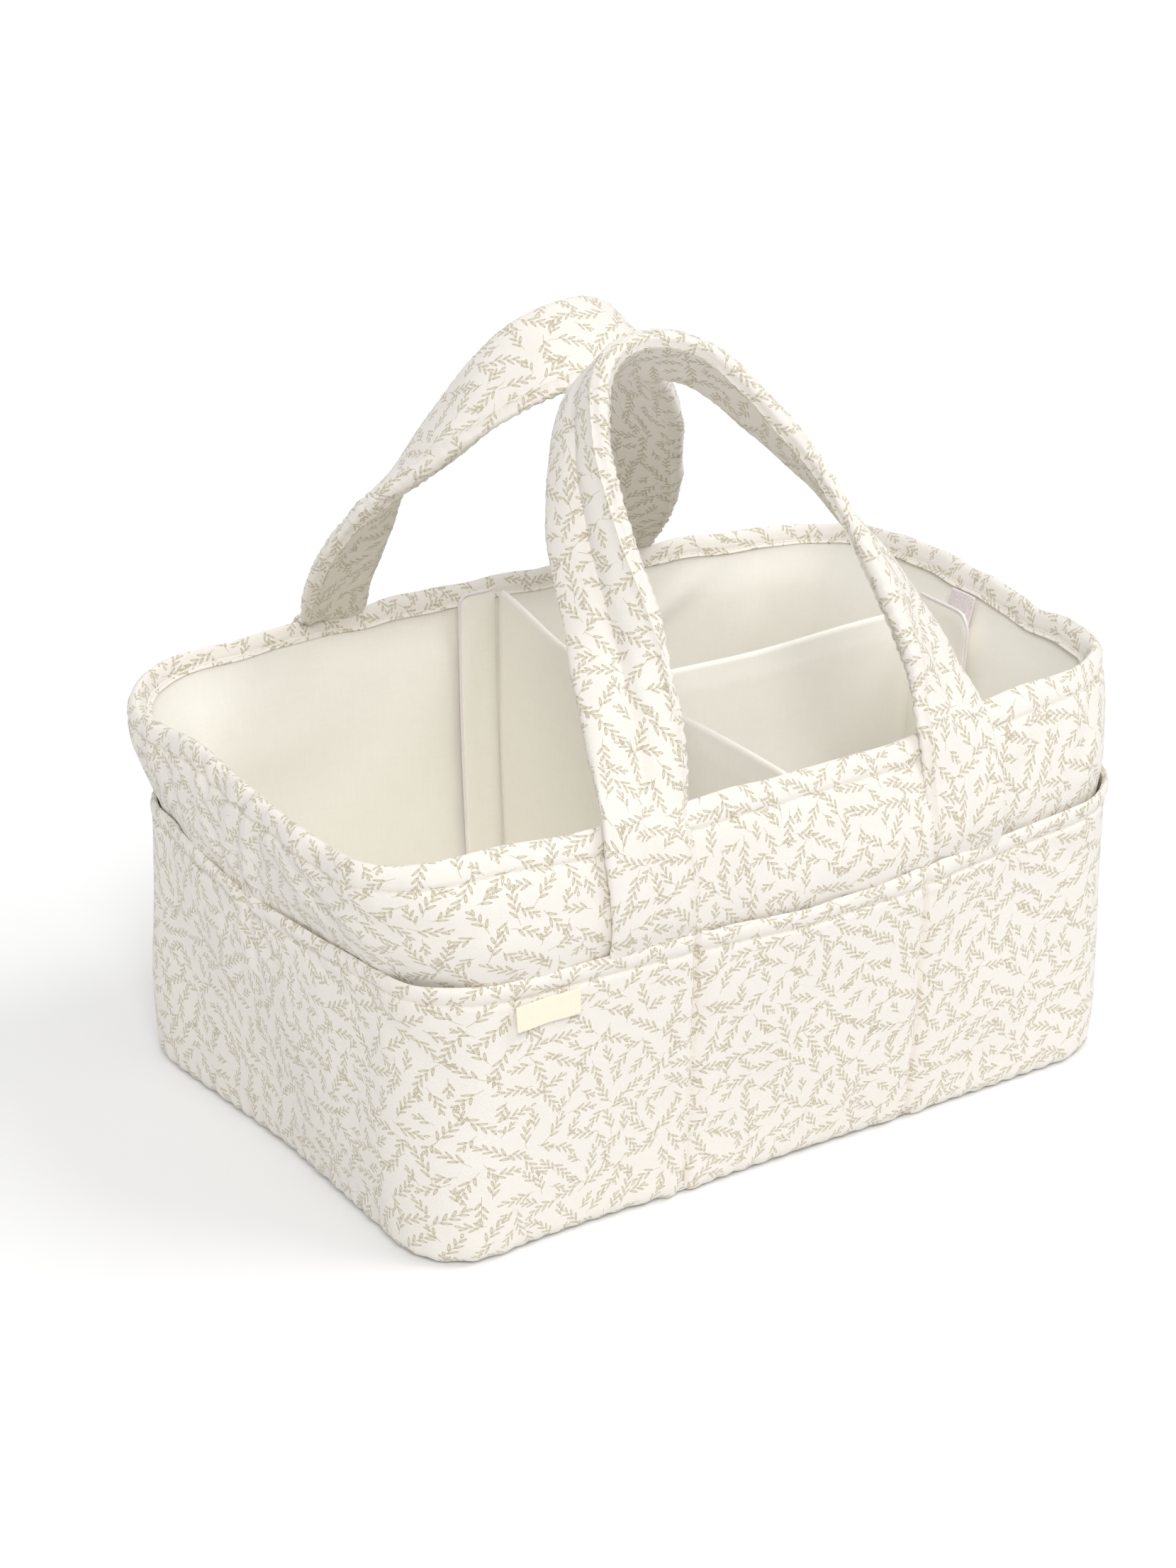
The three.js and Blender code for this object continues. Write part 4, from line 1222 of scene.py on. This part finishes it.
def sew(name, lines, body, sides=5):
    """One piece of thread for several rows. Each line is its points and its normals."""
    corners, faces, flats = [], [], []
    stations = np.array([-1.0, -0.72, 0.72, 1.0]) * STITCH_LENGTH / 2
    sizes = np.array([0.35, 1.0, 1.0, 0.35])[:, None, None] * THREAD_RADIUS
    sunk = np.array([-0.6, 0.5, 0.5, -0.6])[:, None, None] * THREAD_RADIUS
    angle = np.linspace(0, 2 * np.pi, sides, endpoint=False)
    for points, normals in lines:
        both = resample(np.concatenate([points, normals], axis=1), 0.0006)
        way = np.linspace(0, way_of(both[:, :3])[-1], len(both))
        for middle in np.arange(STITCH_PITCH, way[-1] - STITCH_PITCH, STITCH_PITCH):
            spine = np.stack([np.interp(middle + stations, way, row) for row in both.T[:3]], axis=1)
            up = unit(np.array([np.interp(middle, way, row) for row in both.T[3:]]))
            beside = np.cross(unit(spine[-1] - spine[0]), up)
            ring = np.cos(angle)[:, None] * up + np.sin(angle)[:, None] * beside
            start = len(corners) * 4 * sides
            corners.append(spine[:, None] + up * sunk + ring * sizes)
            for k, m in np.ndindex(3, sides):
                here, there = start + k * sides, start + (k + 1) * sides
                n = (m + 1) % sides
                faces.append((here + m, here + n, there + n, there + m))
                flats += [(middle + k / 1000, m / 1000)] * 4
            faces.append(tuple(start + m for m in range(sides))[::-1])
            faces.append(tuple(start + 3 * sides + m for m in range(sides)))
            flats += [(middle, 0)] * 2 * sides
    mesh = bpy.data.meshes.new(name)
    mesh.from_pydata(np.array(corners).reshape(-1, 3).tolist(), [], faces)
    mesh.uv_layers.new(name="flat").uv.foreach_set("vector", np.array(flats, np.float32).ravel())
    piece = put(name, mesh)
    face_outwards(piece)
    return finish_piece(piece, THREAD, body)


def row_of(points, row, loop_u=True, loop_v=False):
    """A row of a cloth's grid with its normals, closed where the cloth is."""
    line, normal = points[:, row], grid_normals(points, loop_u, loop_v)[:, row]
    if loop_u:
        line, normal = np.concatenate([line, line[:1]]), np.concatenate([normal, normal[:1]])
    return line, normal


def nearest(values, wanted):
    """The place in a row of values that lies nearest to a wanted one."""
    return int(np.abs(values - wanted).argmin())


crest = int(wall_zs.argmax())
rim_rows = (nearest(wall_zs[:crest], RIM_STITCH), crest + nearest(wall_zs[crest:], FACING_STITCH))
sew("rim_stitches", [row_of(wall_points, row) for row in rim_rows], "basket")
hem_row = nearest(pocket_zs[:outside_rows], HEM_STITCH)
hem_lines = [row_of(pocket_points, hem_row, True, True)]
pocket_normals = grid_normals(pocket_points, True, True)
seam_rows = slice(6, outside_rows - 1)
for place in SEAM_PLACES:
    column = nearest(pocket_us, place)
    hem_lines.append((pocket_points[column, seam_rows], pocket_normals[column, seam_rows]))
sew("pocket_stitches", hem_lines, "basket")
section_across = strap_section()[0]
half_section = SECTION_POINTS // 2
for handle_name, points in STRAP_POINTS.items():
    normals = grid_normals(points, False, True)
    edges = [start + nearest(section_across[start:start + half_section], -SEAM_SHARE)
             for start in (0, half_section)]
    seam_lines = [(points[6:-6, edge], normals[6:-6, edge]) for edge in edges]
    thread = sew(handle_name.replace("handle", "strap_stitches"), seam_lines, None)
    bend_at_rim(thread, handle_name)

# %% [markdown]
# ## The divider insert
# The insert is a T of two padded sleeves. Each is a flat cushion on edge with a corded
# top. At its ends it turns into flaps that lie on the walls, and their hook tape grips
# the loop tape on the lining. It rides on its own body, because it lifts out.

# %% A padded panel on edge
DIVIDER_FOOT = 0.0086
DIVIDER_TOP = 0.180


def inside_form(x, y, z):
    """The basket's lean and flare for things that stand inside it."""
    flare, lean = form_at(x, z)
    return np.stack([x + flare, y * lean, z], axis=-1)


def panel_points(place, length, thickness, top, corner_low, corner_high, seed, swell):
    """Points of an upright cushion. place(a, b, z) sets a way along, a way across, z."""
    a = np.linspace(0, length, max(12, round(length / 0.003)))
    half = thickness / 2
    side_rows = np.linspace(0, 1, 44)
    arc = np.radians(np.linspace(0, 180, 9))[1:-1]
    across = np.concatenate([np.full(44, half), half * np.cos(arc), np.full(44, -half)])
    up_share = np.concatenate([side_rows, np.full(7, 1.0), side_rows[::-1]])
    over = np.concatenate([np.zeros(44), half * np.sin(arc), np.zeros(44)])
    highest = top(a)
    for distance, corner in ((a, corner_low), (length - a, corner_high)):
        if corner > 0:
            near = np.clip(corner - distance, 0, corner)
            highest = highest - (corner - np.sqrt(corner ** 2 - near ** 2))
    z = DIVIDER_FOOT + (highest[:, None] - half - DIVIDER_FOOT) * up_share[None, :] + over[None, :]
    ends = np.sqrt(np.clip(np.minimum(a, length - a) / half, 0.04, 1))[:, None]
    grid = np.stack(np.broadcast_arrays(a[:, None], across[None, :] * 0, z), axis=-1)
    below = (highest[:, None] - z)
    inwards = smooth_step(np.minimum(a, length - a)[:, None] / 0.03)
    cushion = swell * smooth_step((below - 0.006) / 0.03) * inwards
    groove = 0.0005 * bump_at(below, 0.0062, 0.0012)
    slim = 0.66 + 0.34 * smooth_step(below / 0.010)
    uneven = 0.0010 * soft_noise(grid + np.array([0, seed, 0]), 0.05, seed)
    puffed = cushion + uneven * np.clip(below / 0.01, 0, 1) - groove
    b = across[None, :] * ends * slim + np.sign(across)[None, :] * puffed
    return place(np.broadcast_to(a[:, None], z.shape), b, z), a


def make_panel(name, place, length, thickness, top, corners, seed, swell):
    """A divider's sleeve, which stands for the solid cover of the same name."""
    points, a = panel_points(place, length, thickness, top, *corners, seed, swell)
    piece = make_grid(name, points, a, way_along(points, 1), loop_v=True, caps=True)
    face_outwards(piece)
    return finish_piece(piece, LINING, "divider_insert", (f"{name}_cover",))


CROSS_X = 0.008
LONG_Y = 0.010
CROSS_REACH = 0.1122
LONG_START = 0.0111
LONG_END = 0.1664


def upright_share(z, kept):
    """Share of the wall's pull that the insert follows: all of it as high as the tapes grip."""
    return 1 - (1 - kept) * smooth_step((z - 0.135) / 0.045)


def cross_top(a):
    return DIVIDER_TOP + 0.0015 + 0.0100 * smooth_step((a - 0.165) / 0.060) + 0.0006 * np.sin(a / 0.021)


def long_top(a):
    return DIVIDER_TOP + 0.0012 + 0.0008 * np.sin(a / 0.019 + 1.0)


def cross_place(a, b, z):
    bow = 0.0016 * np.sin(np.pi * a / (2 * CROSS_REACH)) * np.sin(np.pi * z / 0.36)
    places = inside_form(CROSS_X + b - bow, a - CROSS_REACH, z)
    for side in (-1, 1):
        pulled_out, pulled_up = cloth_pull(strip_way(CROSS_X, side), z)
        share = smooth_step((side * (a - CROSS_REACH) / CROSS_REACH - 0.35) / 0.65)
        places[..., 1] += side * share * (pulled_out + 0.0012)
        places[..., 2] += share * pulled_up * z / RIM_HEIGHT
    return places


def long_place(a, b, z):
    places = inside_form(LONG_START + a, LONG_Y + b, z)
    pulled_out, _ = cloth_pull(RIGHT_MIDDLE + LONG_Y, z)
    share = smooth_step((a - 0.110) / (LONG_END - LONG_START - 0.110))
    places[..., 0] += share * (upright_share(z, 0.3) * pulled_out + 0.0012)
    return places


make_panel("cross_divider", cross_place, 2 * CROSS_REACH, 0.0050, cross_top, (0.008, 0.002), 61, 0.0006)
make_panel("long_divider", long_place, LONG_END - LONG_START, 0.0048, long_top, (0.001, 0.008), 63, 0.0005)

# %% [markdown]
# ## Blanks that are wrapped on the wall
# Boards, tapes, flaps and the label are flat things that only follow the wall. Each is
# made as it would be cut: a grid of the flat size, extruded to its thickness. Then its
# points are wrapped on the wall, so that a straight blank bends as the wall does.

# %% Flat blanks
BLANK_STEP = 0.006


def flat_blank(name, length, height, thickness, step=BLANK_STEP):
    """A flat plate with its corner at the origin, cut into a grid, then extruded."""
    bpy.ops.object.select_all(action="DESELECT")
    bpy.ops.mesh.primitive_grid_add(x_subdivisions=max(2, round(length / step)),
                                    y_subdivisions=max(2, round(height / step)), size=1)
    piece = bpy.context.active_object
    piece.name = name
    bpy.ops.object.mode_set(mode="EDIT")
    bpy.ops.mesh.select_all(action="SELECT")
    bpy.ops.transform.resize(value=(length, height, 1))
    bpy.ops.transform.translate(value=(length / 2, height / 2, 0))
    bpy.ops.mesh.extrude_region_move(TRANSFORM_OT_translate={"value": (0, 0, thickness)})
    bpy.ops.object.mode_set(mode="OBJECT")
    face_outwards(piece)
    return piece


def round_edges(piece, width):
    only(piece)
    rounding = piece.modifiers.new("rounding", "BEVEL")
    rounding.width = width
    rounding.segments = 2
    rounding.limit_method = "ANGLE"
    bpy.ops.object.modifier_apply(modifier=rounding.name)


def wrap(piece, place):
    """Keeps the flat lengths as the UV map, then moves every point onto the wall."""
    flat = points_of(piece)
    map_flat(piece, flat)
    piece.data.vertices.foreach_set("co", place(*flat.T).ravel())
    piece.data.update()
    face_outwards(piece)
    return piece


print("blanks are cut into squares of", BLANK_STEP * 1000, "mm")

# %% [markdown]
# ## Boards in the walls
# One stiff board stands in each wall, between the outer cloth and the lining. It is cut
# straight, and wrapping it on the wall gives it the wall's bow and lean.

# %% Boards in the walls
BOARD_INSET = 0.0080
BOARD_THICKNESS = 0.0020
BOARD_TOP = 0.1850


def wall_board(name, middle, length, replaced):
    piece = flat_blank(name, length, BOARD_TOP - WALL_FOOT, BOARD_THICKNESS)
    wrap(piece, lambda x, y, z: basket_place(middle - length / 2 + x, WALL_FOOT + y, BOARD_INSET + z))
    return finish_piece(piece, WADDING, "basket", (replaced,))


WALL_BOARDS = {"front": (FRONT_MIDDLE, STRAIGHT_X), "back": (BACK_MIDDLE, STRAIGHT_X),
               "left": (0.0, STRAIGHT_Y), "right": (RIGHT_MIDDLE, STRAIGHT_Y)}
for side_name, (middle, reach) in WALL_BOARDS.items():
    wall_board(f"{side_name}_board", middle, 2 * reach, f"stiffener_{side_name}")

# %% [markdown]
# The insert's flaps lie on the lining, and two tapes between them hold on to each other:
# loops sewn on the lining, hooks sewn on the flap. The flap's free edge is bound with a
# narrow tape.

# %% Tapes and flaps
TAPE_THICKNESS = 0.0010
LOOP_INSET = 0.0149
HOOK_INSET = LOOP_INSET + TAPE_THICKNESS + 0.0001
FLAP_INSET = HOOK_INSET + TAPE_THICKNESS + 0.0002
FLAP_THICKNESS = 0.0020
TAPE_LOW = 0.050
TAPE_HEIGHT = 0.100
LONG_LOOPS = 0.134


def add_tape(name, start, width, inset, body, replaced, height=TAPE_HEIGHT):
    piece = flat_blank(name, width, height, TAPE_THICKNESS)
    round_edges(piece, 0.0003)
    wrap(piece, lambda x, y, z: basket_place(start + x, TAPE_LOW + y, inset + z))
    return finish_piece(piece, NAP, body, (replaced,))


def flap_height(x, width, top, free_low, corner):
    """Height of a flap over its width, with a rounded corner at its free edge."""
    from_edge = x if free_low else width - x
    near = np.clip(corner - from_edge, 0, corner)
    return top - (corner - np.sqrt(corner ** 2 - near ** 2))


def flap_place(u, z, inset, kept):
    """A place on a flap. Above its tape the flap follows only some of the wall's pull."""
    places = basket_place(u, z, inset)
    pulled_out, pulled_up = cloth_pull(u, z)
    left_out = 1 - upright_share(z, kept)
    angle = np.interp(np.mod(u, GIRTH), MARKS, FACING)
    places[..., 0] -= left_out * pulled_out * np.cos(angle)
    places[..., 1] -= left_out * pulled_out * np.sin(angle)
    places[..., 2] -= left_out * pulled_up
    return places


def add_flap(name, start, width, over_top, free_low, corner, kept):
    """A flap of one fold, and the bound edge round it. It stands for the solid flap."""
    top = DIVIDER_TOP + over_top
    height = top - DIVIDER_FOOT
    piece = flat_blank(f"{name}_cloth", width, height, FLAP_THICKNESS)
    round_edges(piece, 0.0005)

    def place(x, y, z):
        lift = (flap_height(x, width, top, free_low, corner) - DIVIDER_FOOT) / height
        free = x if free_low else width - x
        ease = 0.0012 * (1 - smooth_step(free / 0.006)) + 0.0008 * np.sin(y / 0.03 + start * 40)
        return flap_place(start + x, DIVIDER_FOOT + y * lift, FLAP_INSET + z + np.maximum(ease, 0), kept)

    wrap(piece, place)
    finish_piece(piece, LINING, "divider_insert", (name,))
    turn = np.radians(np.linspace(0, 90, 9))
    x = np.concatenate([np.zeros(40), corner * (1 - np.cos(turn)), np.linspace(corner, width, 9)[1:]])
    z = np.concatenate([np.linspace(DIVIDER_FOOT, top - corner, 41)[:-1],
                        top - corner * (1 - np.sin(turn)), np.full(8, top)])
    along = start + (x if free_low else width - x)
    edge = flap_place(along, z, FLAP_INSET + FLAP_THICKNESS / 2 + 0.0006, kept)
    tube(f"{name}_cloth_binding", edge, 0.0009, BINDING, "divider_insert")
    return piece


def tube(name, line, radius, material, body, sides=10):
    """A closed round tube along a line, for piping and bound edges."""
    line = np.asarray(line)
    tangent = unit(np.gradient(line, axis=0))
    first = unit(np.cross(tangent, np.array([0.3, 0.5, 0.81])))
    second = np.cross(tangent, first)
    angle = np.linspace(0, 2 * np.pi, sides, endpoint=False)
    ends = np.minimum(np.arange(len(line)), np.arange(len(line))[::-1])
    size = radius * np.sqrt(np.clip((ends + 0.6) / 2.0, 0, 1))[:, None, None]
    points = line[:, None] + size * (np.cos(angle)[None, :, None] * first[:, None]
                                     + np.sin(angle)[None, :, None] * second[:, None])
    us, vs = way_along(points, 0)[:len(line)], way_along(points, 1)
    piece = make_grid(name, points, us, vs, loop_v=True, caps=True)
    face_outwards(piece)
    return finish_piece(piece, material, body)


def grained(name, roughness, sheen, texture, scale, output, colors, relief):
    """A finish whose grain is read from the place of each point on its own object."""
    material, tree, shader = new_material(name, roughness, sheen)
    grain = tree.nodes.new(texture)
    grain.inputs["Scale"].default_value = scale
    tree.links.new(tree.nodes.new("ShaderNodeTexCoord").outputs["Object"], grain.inputs["Vector"])
    height = grain.outputs[output]
    coat(tree, shader, blend_colors(tree, height, *colors), height, *relief)
    return material, grain


NAP, _ = grained("hook and loop nap", 0.95, 0.6, "ShaderNodeTexVoronoi", 900.0, "Distance",
                 (tone(240, 231, 232), tone(222, 210, 213)), (0.7, 0.0004))
TAPES = [
    # side, place of the tape's start along the strip, width
    ("front", FRONT_MIDDLE - 0.011, 0.018),
    ("back", BACK_MIDDLE - 0.007, 0.018),
    ("right", RIGHT_MIDDLE - 0.016, 0.018),
]
for side_name, start, width in TAPES:
    add_tape(f"{side_name}_loops", start, width, LOOP_INSET, "basket", f"loop_tape_{side_name}",
             LONG_LOOPS if side_name == "right" else TAPE_HEIGHT)
    add_tape(f"{side_name}_hooks", start, width, HOOK_INSET, "divider_insert", f"hook_tape_{side_name}")
FLAPS = [
    # name, start along the strip, width, way over the dividers' top, free edge on the low
    # side, corner, share of the wall's pull that is kept above the tape
    ("front_flap", FRONT_MIDDLE - 0.0145, 0.0205, 0.0, True, 0.005, 1.0),
    ("back_flap", BACK_MIDDLE - 0.0060, 0.0205, 0.0110, False, 0.005, 1.0),
    ("right_flap", RIGHT_MIDDLE - 0.0270, 0.0395, 0.005, True, 0.009, 0.3),
]
for flap in FLAPS:
    add_flap(*flap)

# %% [markdown]
# ## The label
# A short woven ribbon is sewn on under the hem. It carries no mark here. It is a thin
# blank with soft edges, pressed on at its right end and lifting a little at its left.

# %% Label
LABEL_WIDTH = 0.0295
LABEL_HEIGHT = 0.0120
LABEL_TOP = HEM_HEIGHT - 0.0098
LABEL_LEFT = FRONT_MIDDLE - POCKET_SEAM - 0.057 - 0.029


def label_place(x, y, z):
    a = x / LABEL_WIDTH
    u = LABEL_LEFT + x
    height = LABEL_TOP - LABEL_HEIGHT + y
    lift = 0.0012 + 0.0022 * (1 - a) ** 3 + 0.0003 * np.sin(3 * math.pi * a)
    return basket_place(u, height, 0.0, pocket_off(u, height) + lift + z)


label = flat_blank("woven_label", LABEL_WIDTH, LABEL_HEIGHT, 0.0007, 0.0012)
round_edges(label, 0.0002)
wrap(label, label_place)
finish_piece(label, RIBBON, "basket", ("label_tab",))

# %% [markdown]
# ## What stays of the solids
# The boards inside the floor and the dividers keep their solids. They are plain plates
# on the real thing too, so they only get a finish.

# %% Solids that stay
BOARD, board_grain = grained("foam board", 0.7, 0.0, "ShaderNodeTexNoise", 700.0, "Fac",
                             (tone(226, 223, 213), tone(212, 208, 198)), (0.3, 0.0003))
board_grain.inputs["Detail"].default_value = 3.0
for node_name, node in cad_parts.items():
    if node.hide_render:
        continue
    node.data.materials.clear()
    node.data.materials.append(BOARD)
    print("kept solid", node_name)

# %% [markdown]
# ## Floor and light
# The photograph is lit softly from the camera's right and from above, on white, with a
# fill from the camera's side. The floor is the colour of white paper and keeps the shadow.
# The camera alone sees it a little lighter and with a faint glow of its own, so that the
# lit floor is white and only the shadow shows.

# %% Floor, world and lamps
FLOOR_SIZE = 8.0
FLOOR_TONE = 0.86
FLOOR_SEEN = 0.89
FLOOR_GLOW = 0.04
KEY_STRENGTH = 0.285 * math.pi
KEY_ANGLE = math.radians(30)
TOP_STRENGTH = 0.195 * math.pi
TOP_ANGLE = math.radians(80)
FILL_STRENGTH = 0.435 * math.pi
FILL_ANGLE = math.radians(25)
WORLD_STRENGTH = 0.39


def add_floor():
    bpy.ops.object.select_all(action="DESELECT")
    bpy.ops.mesh.primitive_plane_add(size=FLOOR_SIZE, location=(0, 0, 0))
    floor = bpy.context.active_object
    floor.name = "floor"
    material = bpy.data.materials.new("white floor")
    material.use_nodes = True
    tree = material.node_tree
    tree.nodes.clear()
    paper, seen = (tree.nodes.new("ShaderNodeBsdfDiffuse") for _ in range(2))
    for node, level in ((paper, FLOOR_TONE), (seen, FLOOR_SEEN)):
        node.inputs["Color"].default_value = (level, level, level, 1)
    glow = tree.nodes.new("ShaderNodeEmission")
    glow.inputs["Strength"].default_value = FLOOR_GLOW
    both = tree.nodes.new("ShaderNodeAddShader")
    tree.links.new(seen.outputs[0], both.inputs[0])
    tree.links.new(glow.outputs[0], both.inputs[1])
    choose = tree.nodes.new("ShaderNodeMixShader")
    ray = tree.nodes.new("ShaderNodeLightPath")
    out = tree.nodes.new("ShaderNodeOutputMaterial")
    tree.links.new(ray.outputs["Is Camera Ray"], choose.inputs["Fac"])
    tree.links.new(paper.outputs[0], choose.inputs[1])
    tree.links.new(both.outputs[0], choose.inputs[2])
    tree.links.new(choose.outputs[0], out.inputs["Surface"])
    floor.data.materials.append(material)
    return floor


def add_world():
    world = bpy.data.worlds.new("studio")
    world.use_nodes = True
    tree = world.node_tree
    tree.nodes.clear()
    ray = tree.nodes.new("ShaderNodeLightPath")
    camera_ray, glossy, transmitted = [Wire(tree, ray.outputs[f"Is {kind} Ray"])
                                       for kind in ("Camera", "Glossy", "Transmission")]
    seen = camera_ray.calc("MAXIMUM", glossy.calc("MAXIMUM", transmitted))
    strength = seen.calc("MULTIPLY_ADD", 1.0 - WORLD_STRENGTH, WORLD_STRENGTH)
    background = tree.nodes.new("ShaderNodeBackground")
    background.inputs["Color"].default_value = (1, 1, 1, 1)
    feed(tree, background.inputs["Strength"], strength)
    out = tree.nodes.new("ShaderNodeOutputWorld")
    tree.links.new(background.outputs[0], out.inputs["Surface"])
    bpy.context.scene.world = world


def add_sun(name, direction, strength, angle):
    """A far, wide lamp. It lights the whole floor evenly, as a large softbox would."""
    data = bpy.data.lights.new(name, "SUN")
    data.energy = strength
    data.angle = angle
    lamp = put(name, data)
    lamp.location = Vector(direction).normalized() * 3
    lamp.rotation_euler = Vector(direction).to_track_quat("Z", "Y").to_euler()
    return lamp


add_floor()
add_world()
add_sun("key", (0.50, -0.40, 0.77), KEY_STRENGTH, KEY_ANGLE)
add_sun("overhead", (0.0, -0.05, 1.0), TOP_STRENGTH, TOP_ANGLE)
add_sun("fill", (-0.40, -0.66, 0.74), FILL_STRENGTH, FILL_ANGLE)
bpy.context.scene.view_settings.view_transform = "Standard"
